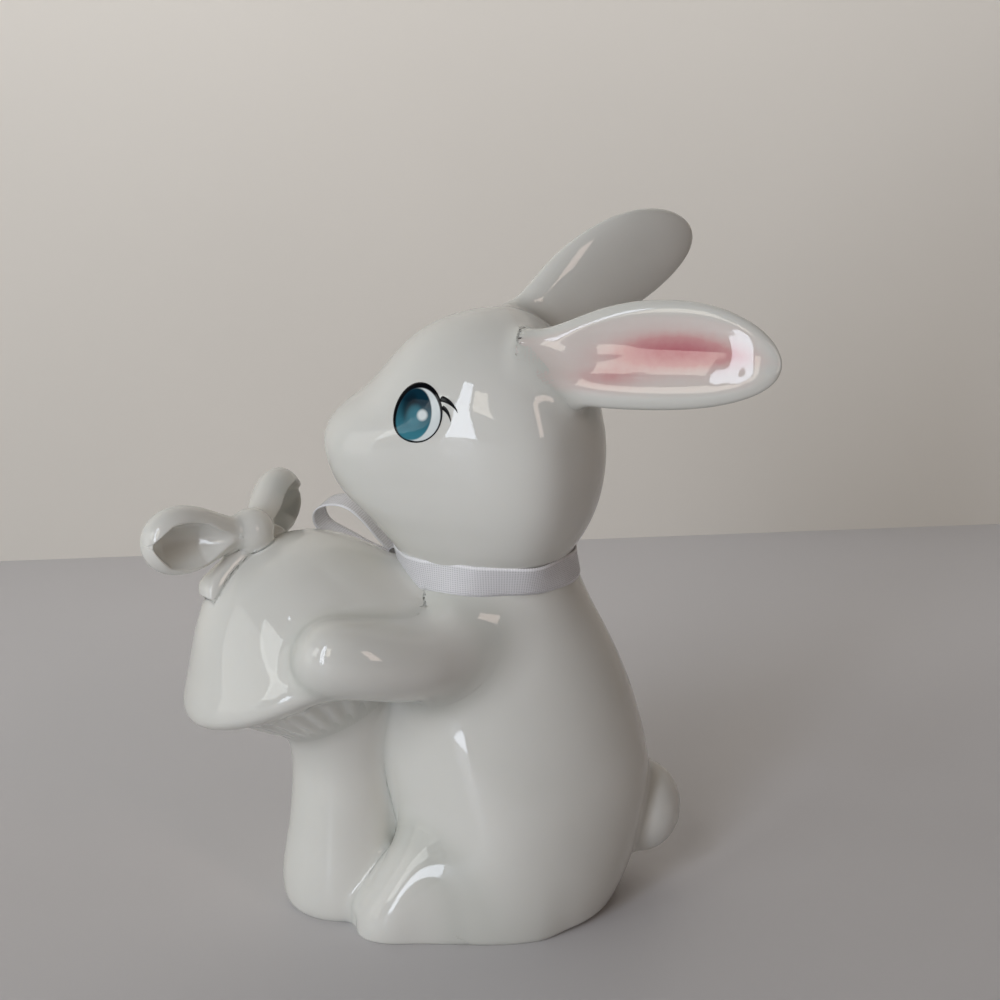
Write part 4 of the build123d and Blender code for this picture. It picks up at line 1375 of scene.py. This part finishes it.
class OBJECT_OT_rabbit_ears(CastingOperator, bpy.types.Operator):
    """Make the two ears with their pressed hollows"""

    bl_idname = "object.rabbit_ears"
    bl_label = "Ears"
    castings = ("left_ear", "right_ear")


class OBJECT_OT_rabbit_limbs(CastingOperator, bpy.types.Operator):
    """Make the arms and feet"""

    bl_idname = "object.rabbit_limbs"
    bl_label = "Arms and feet"
    castings = ("left_arm", "right_arm", "left_foot", "right_foot")


class OBJECT_OT_rabbit_stem(CastingOperator, bpy.types.Operator):
    """Make the mushroom's stem"""

    bl_idname = "object.rabbit_stem"
    bl_label = "Mushroom stem"
    castings = ("mushroom_stem",)


class OBJECT_OT_rabbit_bow(CastingOperator, bpy.types.Operator):
    """Make the clay bow on the crown of the cap"""

    bl_idname = "object.rabbit_bow"
    bl_label = "Clay bow"
    castings = ("bow_knot", "bow_left_loop", "bow_right_loop", "bow_left_tail", "bow_right_tail")


# Inputs of the gills' tree
GILL_INPUTS = {
    "Cap": "NodeSocketGeometry",
    "Count": "NodeSocketInt",
    "Depth": "NodeSocketFloat",
    "Material": "NodeSocketMaterial",
}


def gill_tree():
    """Geometry nodes that raise soft gills round the cap's axis, where the underside is marked for them."""
    tree = bpy.data.node_groups.new("gills_under_cap", "GeometryNodeTree")
    for name, kind in GILL_INPUTS.items():
        tree.interface.new_socket(name=name, in_out="INPUT", socket_type=kind)
    tree.interface.new_socket(name="Cap", in_out="OUTPUT", socket_type="NodeSocketGeometry")
    given = add_node(tree, "NodeGroupInput").outputs
    swing = add_node(tree, "GeometryNodeInputNamedAttribute", ("swing",), data_type="FLOAT")
    under = add_node(tree, "GeometryNodeInputNamedAttribute", ("under",), data_type="FLOAT")
    turns = add_node(tree, "ShaderNodeMath", (swing, given["Count"]), operation="MULTIPLY")
    wave = add_node(tree, "ShaderNodeMath", (turns,), operation="COSINE")
    crest = add_node(tree, "ShaderNodeMath", (wave, 0.5, 0.1), operation="MULTIPLY_ADD")
    marked = add_node(tree, "ShaderNodeMath", (crest, under), operation="MULTIPLY")
    height = add_node(tree, "ShaderNodeMath", (marked, given["Depth"]), operation="MULTIPLY")
    normal = add_node(tree, "GeometryNodeInputNormal")
    offset = add_node(
        tree, "ShaderNodeVectorMath", {0: normal.outputs[0], "Scale": height}, operation="SCALE"
    )
    raised = add_node(tree, "GeometryNodeSetPosition", {"Geometry": given["Cap"], "Offset": offset})
    real = add_node(tree, "GeometryNodeRealizeInstances", {"Geometry": raised})
    glazed = add_node(tree, "GeometryNodeSetMaterial", {"Geometry": real, "Material": given["Material"]})
    add_node(tree, "NodeGroupOutput", (glazed,))
    return tree


class OBJECT_OT_rabbit_cap(bpy.types.Operator):
    """Make the mushroom's cap, with soft gills raised round its underside"""

    bl_idname = "object.rabbit_cap"
    bl_label = "Mushroom cap"
    bl_options = {"REGISTER", "UNDO"}

    def execute(self, context):
        scene = context.scene
        if not FORMS:
            build_forms(scene)
        mushroom = scene.rabbit_mushroom
        form = FORMS["mushroom_cap"]
        centre, back, side, up = cap_axes(mushroom)
        local = (form.points - centre) @ np.column_stack([back, side, up])
        radius = np.hypot(local[:, 0], local[:, 1]) / mushroom.cap_radius
        band = np.clip((radius - GILL_START) / GILL_RISE, 0, 1)
        band = band * np.clip((GILL_END - radius) / GILL_FADE, 0, 1)
        form.values["under"] = np.where(local[:, 2] < 0, band, 0) * (1 - form.values["filled"])
        form.values["swing"] = np.arctan2(local[:, 1], local[:, 0])
        bare = casting_mesh("mushroom_cap", ("filled", "under", "swing", "sprayed"))
        piece = bpy.data.objects.new("glazed_mushroom_cap", bare)
        scene.collection.objects.link(piece)
        modifier = piece.modifiers.new("gills", "NODES")
        modifier.node_group = gill_tree()
        given = {
            "Count": mushroom.gill_count,
            "Depth": mushroom.gill_depth,
            "Material": material_of(scene, clear_glaze_over_white_clay),
        }
        for socket in modifier.node_group.interface.items_tree:
            if socket.name in given:
                modifier[socket.identifier] = given[socket.name]
        evaluated = piece.evaluated_get(context.evaluated_depsgraph_get())
        result = bpy.data.meshes.new_from_object(evaluated)
        if len(result.polygons) != len(form.faces):
            raise RuntimeError("the gill tree lost faces of the cap")
        piece.modifiers.remove(modifier)
        piece.data = result
        result.name = "glazed_mushroom_cap"
        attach(piece, "root")
        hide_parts("mushroom_cap")
        return {"FINISHED"}


def lash_ring(start, end, bend, width, steps):
    """Closed outline of one tapered lash on the flat drawing, as rings from its edge to its middle line."""
    start, end = np.array(start), np.array(end)
    places = np.linspace(0, 1, steps)[:, None]
    across = np.array([-(end - start)[1], (end - start)[0]])
    across = across / np.linalg.norm(across)
    middle = start + (end - start) * places + across * bend * 4 * places * (1 - places)
    half = width / 2 * (1 - places) ** 0.8 + 0.004
    outline = np.vstack([middle + across * half, (middle - across * half)[::-1]])
    spine = np.vstack([middle, middle[::-1]])
    return [outline, (outline * 0.35 + spine * 0.65)]


# Lashes on the flat drawing of the eye: start, end, bend, width
LASHES = (
    ((0.80, 0.62), (1.55, 0.24), 0.10, 0.20),
    ((0.92, 0.36), (1.34, -0.10), 0.08, 0.16),
)

# Spot of the eye's drawing, across and up, that has the colour of the lashes
LASH_SPOT = 0.97


class OBJECT_OT_rabbit_eyes(bpy.types.Operator):
    """Make the two printed eyes with their lashes"""

    bl_idname = "object.rabbit_eyes"
    bl_label = "Eyes"
    bl_options = {"REGISTER", "UNDO"}

    def execute(self, context):
        scene = context.scene
        head = scene.rabbit_head
        tree = figurine_hit(["head_casting"])
        material = material_of(scene, fired_eye_print)
        angles = circle(96)
        for side, name in ((-1, "left"), (1, "right")):
            eye = eye_frame(scene, side)
            flip = np.array([-side, 1])
            rings = []
            for reach in np.linspace(1, 0.04, 22):
                rings.append(np.column_stack([np.cos(angles), np.sin(angles)]) * reach)
            points, faces, uvs = film(tree, eye, head, rings)
            add_printed(
                name + "_eye_print", points, faces, uvs * flip, material, "eye_print", [name + "_eye_decal"]
            )
            for index, (start, end, bend, width) in enumerate(LASHES):
                drawn = [ring * flip for ring in lash_ring(start, end, bend, width, 18)]
                points, faces, uvs = film(tree, eye, head, drawn)
                dark = np.full_like(uvs, LASH_SPOT)
                add_printed(f"{name}_lash_{index + 1}", points, faces, dark, material, "eye_print", None)
        return {"FINISHED"}


def strip(middles, sideways, facing, width, thickness, closed, ripple=0.0, waves=1.0):
    """Points, faces and flat places of a ribbon that follows middles, closed into a thin solid."""
    middles = np.asarray(middles, float)
    count = len(middles)
    columns = 9
    across = np.linspace(-0.5, 0.5, columns)
    spans = spans_between(middles)
    travelled = np.concatenate([[0], np.cumsum(spans)])
    wave = ripple * np.sin(travelled / travelled[-1] * math.tau * waves)
    points = []
    uvs = []
    for layer in (0.5, -0.5):
        for index in range(count):
            for share_across in across:
                lean = wave[index] * (1 + share_across)
                offset = facing[index] * (thickness * layer + lean)
                points.append(middles[index] + sideways[index] * width * share_across + offset)
                uvs.append((width * share_across, travelled[index]))
    faces = []
    sheet = count * columns
    last = count if closed else count - 1
    for index in range(last):
        after = (index + 1) % count
        for column in range(columns - 1):
            quad = [index * columns + column, index * columns + column + 1]
            quad += [after * columns + column + 1, after * columns + column]
            faces.append(quad)
            faces.append([corner + sheet for corner in quad[::-1]])
        for column in (0, columns - 1):
            low, high = index * columns + column, after * columns + column
            faces.append([low, high, high + sheet, low + sheet])
    if not closed:
        for index in (0, count - 1):
            for column in range(columns - 1):
                low = index * columns + column
                faces.append([low, low + 1, low + 1 + sheet, low + sheet])
    return points, faces, uvs


def ribbon_knot_centre(scene):
    """Middle of the ribbon's knot, in front of the neck and a little to the right."""
    body, ribbon = scene.rabbit_body, scene.rabbit_ribbon
    reach = ribbon.clearance + ribbon.thickness + ribbon.knot_depth / 2
    forward = body.neck_forward + (body.neck_depth / 2 + reach) * math.cos(ribbon.knot_swing)
    sideways = (body.neck_width / 2 + reach) * math.sin(ribbon.knot_swing)
    return np.array([-forward, sideways, body.seam_height + ribbon.knot_rise])


class OBJECT_OT_rabbit_ribbon(bpy.types.Operator):
    """Make the ribbon round the neck with its bow"""

    bl_idname = "object.rabbit_ribbon"
    bl_label = "Ribbon"
    bl_options = {"REGISTER", "UNDO"}

    def execute(self, context):
        scene = context.scene
        ribbon = scene.rabbit_ribbon
        self.make_band(scene)
        self.make_knot(scene)
        self.make_loop(scene, "left", ribbon.left_swing, ribbon.left_rise, ribbon.left_roll)
        self.make_loop(scene, "right", ribbon.right_swing, ribbon.right_rise, ribbon.right_roll)
        upper = ribbon.upper_tail_swing, ribbon.upper_tail_length
        lower = ribbon.lower_tail_swing, ribbon.lower_tail_length
        self.make_tail(scene, "upper", UPPER_TAIL_RADIUS_SHARE, *upper)
        self.make_tail(scene, "lower", LOWER_TAIL_RADIUS_SHARE, *lower)
        return {"FINISHED"}

    def add_strip(self, scene, name, node, parts):
        """Make a piece of organza from the points, faces and flat places that strip gives."""
        material = material_of(scene, woven_organza)
        add_printed(name, *parts, material, "ribbon", [node])

    def make_band(self, scene):
        """The band lies on the neck and the chin, where rays from outside meet them."""
        body, ribbon = scene.rabbit_body, scene.rabbit_ribbon
        tree = figurine_hit(["head_casting", "body_casting"])
        count = 260
        low = body.seam_height - ribbon.drop
        heights = [low + ribbon.width * part for part in (0.0, 0.5, 1.0)]
        middles = []
        sideways = []
        facing = []
        for index in range(count):
            angle = math.tau * index / count
            ray = np.array([math.cos(angle), math.sin(angle), 0])
            found = []
            for height in heights:
                start = Vector(ray * 2 * body.neck_depth) + Vector((0, 0, height))
                place, _, _, _ = tree.ray_cast(start, Vector(-ray))
                found.append(np.array(place))
            rise = unit(found[2] - found[0])
            out = unit(np.cross(np.cross((0, 0, 1), ray), rise))
            out = out if out @ ray > 0 else -out
            middles.append((found[0] + found[1] * 2 + found[2]) / 4 + out * ribbon.clearance)
            sideways.append(rise)
            facing.append(out)
        parts = strip(middles, sideways, facing, ribbon.width, ribbon.thickness, True, ribbon.ripple, 9.0)
        self.add_strip(scene, "ribbon_band", "ribbon_collar", parts)

    def make_knot(self, scene):
        """The knot is a short wrap of ribbon that stands against the band."""
        ribbon = scene.rabbit_ribbon
        centre = ribbon_knot_centre(scene)
        outward_way = np.array([-math.cos(ribbon.knot_swing), math.sin(ribbon.knot_swing), 0])
        along = np.cross((0, 0, 1), outward_way)
        count = 40
        middles = []
        facing = []
        for index in range(count):
            angle = math.tau * index / count
            out = outward_way * math.cos(angle) + np.array([0, 0, 1]) * math.sin(angle)
            pinch = WRAP_DEPTH * (outward_way * math.cos(angle) * ribbon.knot_depth)
            rise = np.array([0, 0, 1]) * math.sin(angle) * ribbon.knot_size * WRAP_HEIGHT
            middles.append(centre + pinch + rise)
            facing.append(out)
        sideways = [along] * count
        wrap_width = ribbon.knot_size * WRAP_WIDTH
        parts = strip(middles, sideways, facing, wrap_width, ribbon.thickness, True)
        self.add_strip(scene, "ribbon_knot_wrap", "ribbon_knot", parts)

    def make_loop(self, scene, name, swing, rise, roll):
        """A loop leaves the knot and comes back to it."""
        ribbon = scene.rabbit_ribbon
        along, upright = heading(swing, rise)
        upright = turned(upright, (0, 0, 0), along, roll)
        across = np.cross(along, upright)
        start = ribbon.knot_size / 2 - 0.8 * MM
        keys = [
            (start + (ribbon.loop_length - start) * place, ribbon.loop_height * height)
            for place, height in RIBBON_LOOP_SHARES
        ]
        flat = smooth_rows(keys, np.linspace(0, 1, 90))
        middles = ribbon_knot_centre(scene) + np.outer(flat[:, 0], along) + np.outer(flat[:, 1], upright)
        slopes = np.gradient(flat, axis=0)
        facing = np.outer(slopes[:, 1], along) - np.outer(slopes[:, 0], upright)
        facing = facing / np.linalg.norm(facing, axis=1)[:, None]
        reach = np.clip((flat[:, 0] - start) / (GATHERED_REACH * ribbon.loop_length), 0, 1)
        gather = GATHERED_WIDTH + (1 - GATHERED_WIDTH) * reach ** 0.7
        sideways = across * gather[:, None]
        parts = strip(middles, sideways, facing, ribbon.width, ribbon.thickness, False, ribbon.ripple, 2.0)
        self.add_strip(scene, "ribbon_bow_" + name, "ribbon_" + name + "_loop", parts)

    def make_tail(self, scene, name, part, swing, run):
        """A tail lies on the far side of the dome."""
        ribbon, mushroom = scene.rabbit_ribbon, scene.rabbit_mushroom
        radius = mushroom.cap_radius * part
        probe = 2 * MM
        drop = dome_height(mushroom, radius - probe) - dome_height(mushroom, radius + probe)
        slope = math.atan2(drop, 2 * probe)
        _, back, side, up = cap_axes(mushroom)
        middles = []
        sideways = []
        facing = []
        for step in np.linspace(0, 1, 24):
            angle = swing + run * step / radius
            ray = back * math.cos(angle) + side * math.sin(angle)
            local = (radius * math.cos(angle), radius * math.sin(angle), dome_height(mushroom, radius))
            away = ray * math.sin(slope) + up * math.cos(slope)
            middles.append(in_cap(mushroom, local) + away * ribbon.lift)
            sideways.append(unit(np.cross(away, np.cross(up, ray))))
            facing.append(away)
        parts = strip(middles, sideways, facing, ribbon.width, ribbon.thickness, False)
        self.add_strip(scene, "ribbon_end_" + name, "ribbon_" + name + "_tail", parts)


def plain_finish(name, colour, roughness):
    """Painted board: one colour with faint clouds in it, so that it doesn't look drawn."""
    material, tree, shader = new_material(name)
    place = add_node(tree, "ShaderNodeTexCoord").outputs["Object"]
    cloud = add_node(tree, "ShaderNodeTexNoise", {"Vector": place, "Scale": 6.0})
    fade = add_node(tree, "ShaderNodeMapRange", {0: cloud, 3: 0.94, 4: 1.04})
    tones = {0: 1.0, 6: opaque(colour), 7: fade}
    shade = add_node(tree, "ShaderNodeMix", tones, data_type="RGBA", blend_type="MULTIPLY")
    feed(tree, shader, {"Base Color": shade, "Roughness": roughness})
    return material


def aimed(place, target):
    """Rotation that turns a lamp or camera at place towards target."""
    return (Vector(target) - Vector(place)).to_track_quat("-Z", "Y").to_euler()


def add_pane(name, azimuth, distance, low, high, width, colour, radiance, target):
    """An upright rectangular light that stands round the figurine like a window pane."""
    lamp = bpy.data.lights.new(name, "AREA")
    lamp.shape = "RECTANGLE"
    lamp.size = width
    lamp.size_y = high - low
    lamp.color = linear(colour)
    lamp.energy = radiance * math.pi * width * (high - low)
    pane = bpy.data.objects.new(name, lamp)
    turn_by = math.radians(azimuth)
    middle = (low + high) / 2
    pane.location = (
        target[0] + distance * math.sin(turn_by), target[1] - distance * math.cos(turn_by), middle
    )
    pane.rotation_euler = aimed(pane.location, (target[0], target[1], middle))
    bpy.context.scene.collection.objects.link(pane)


class OBJECT_OT_rabbit_stage(bpy.types.Operator):
    """Make the table, the backdrop, the window light and the camera"""

    bl_idname = "object.rabbit_stage"
    bl_label = "Stage"
    bl_options = {"REGISTER", "UNDO"}

    def execute(self, context):
        scene = context.scene
        stage = scene.rabbit_stage
        self.make_boards(scene, stage)
        self.make_light(scene, stage)
        camera = bpy.data.cameras.new("camera")
        camera.lens = stage.focal_length
        camera.clip_start = 0.01
        eye = bpy.data.objects.new("camera", camera)
        a, e = stage.camera_azimuth, stage.camera_elevation
        away = Vector((math.sin(a) * math.cos(e), -math.cos(a) * math.cos(e), math.sin(e)))
        target = Vector((0, 0, stage.camera_height))
        eye.location = target + away * stage.camera_distance
        eye.rotation_euler = aimed(eye.location, target)
        scene.collection.objects.link(eye)
        scene.camera = eye
        scene.view_settings.view_transform = "Standard"
        return {"FINISHED"}

    def make_boards(self, scene, stage):
        """Table top and backdrop, which meet in a line behind the figurine."""
        reach = 3.0
        far = stage.wall_distance
        table = [(-reach, -reach, 0), (reach, -reach, 0), (reach, far, 0), (-reach, far, 0)]
        wall = [(-reach, far, 0), (reach, far, 0), (reach, far, reach), (-reach, far, reach)]
        boards = (("table_top", table, stage.floor, 0.45), ("backdrop", wall, stage.wall, 0.8))
        for name, corners, colour, roughness in boards:
            mesh = bpy.data.meshes.new(name)
            mesh.from_pydata(corners, [], [(0, 1, 2, 3)])
            mesh.materials.append(plain_finish("matt_painted_" + name, colour, roughness))
            board = bpy.data.objects.new(name, mesh)
            scene.collection.objects.link(board)

    def make_light(self, scene, stage):
        """A cool window with frosted, clear and curtained parts at the front left, a small warm window at
        the right, a glow on the backdrop, and a dim room."""
        world = bpy.data.worlds.new("dim_room")
        world.use_nodes = True
        room = {"Color": opaque(linear(ROOM_COLOUR)), "Strength": ROOM_STRENGTH}
        feed(world.node_tree, world.node_tree.nodes["Background"], room)
        scene.world = world
        for pane in WINDOW_PANES:
            add_pane(*pane, WINDOW_AIM)
        glow = bpy.data.lights.new("backdrop_glow", "AREA")
        glow.shape = "RECTANGLE"
        glow.size, glow.size_y = GLOW_SIZE
        glow.energy = GLOW_POWER
        washer = bpy.data.objects.new("backdrop_glow", glow)
        washer.location = GLOW_PLACE
        washer.rotation_euler = aimed(GLOW_PLACE, (0.0, stage.wall_distance, GLOW_AIM_HEIGHT))
        scene.collection.objects.link(washer)


class VIEW3D_PT_rabbit(bpy.types.Panel):
    """Lists the operators that make the figurine"""

    bl_idname = "VIEW3D_PT_rabbit"
    bl_label = "Rabbit figurine"
    bl_space_type = "VIEW_3D"
    bl_region_type = "UI"
    bl_category = "Figurine"

    def draw(self, context):
        for operator in OPERATORS:
            self.layout.operator(operator.bl_idname)


OPERATORS = (
    OBJECT_OT_rabbit_stage,
    OBJECT_OT_rabbit_body,
    OBJECT_OT_rabbit_head,
    OBJECT_OT_rabbit_ears,
    OBJECT_OT_rabbit_limbs,
    OBJECT_OT_rabbit_stem,
    OBJECT_OT_rabbit_cap,
    OBJECT_OT_rabbit_bow,
    OBJECT_OT_rabbit_eyes,
    OBJECT_OT_rabbit_ribbon,
)


def register():
    for group in SETTINGS.values():
        bpy.utils.register_class(group)
    for operator in OPERATORS:
        bpy.utils.register_class(operator)
    bpy.utils.register_class(VIEW3D_PT_rabbit)
    for name, group in SETTINGS.items():
        setattr(bpy.types.Scene, name, bpy.props.PointerProperty(type=group))


def unregister():
    for name in SETTINGS:
        delattr(bpy.types.Scene, name)
    bpy.utils.unregister_class(VIEW3D_PT_rabbit)
    for operator in reversed(OPERATORS):
        bpy.utils.unregister_class(operator)
    for group in reversed(list(SETTINGS.values())):
        bpy.utils.unregister_class(group)


def main():
    """Register the add-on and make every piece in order."""
    register()
    bpy.ops.object.rabbit_stage()
    bpy.ops.object.rabbit_body()
    bpy.ops.object.rabbit_head()
    bpy.ops.object.rabbit_ears()
    bpy.ops.object.rabbit_limbs()
    bpy.ops.object.rabbit_stem()
    bpy.ops.object.rabbit_cap()
    bpy.ops.object.rabbit_bow()
    bpy.ops.object.rabbit_eyes()
    bpy.ops.object.rabbit_ribbon()


if __name__ == "__main__":
    main()
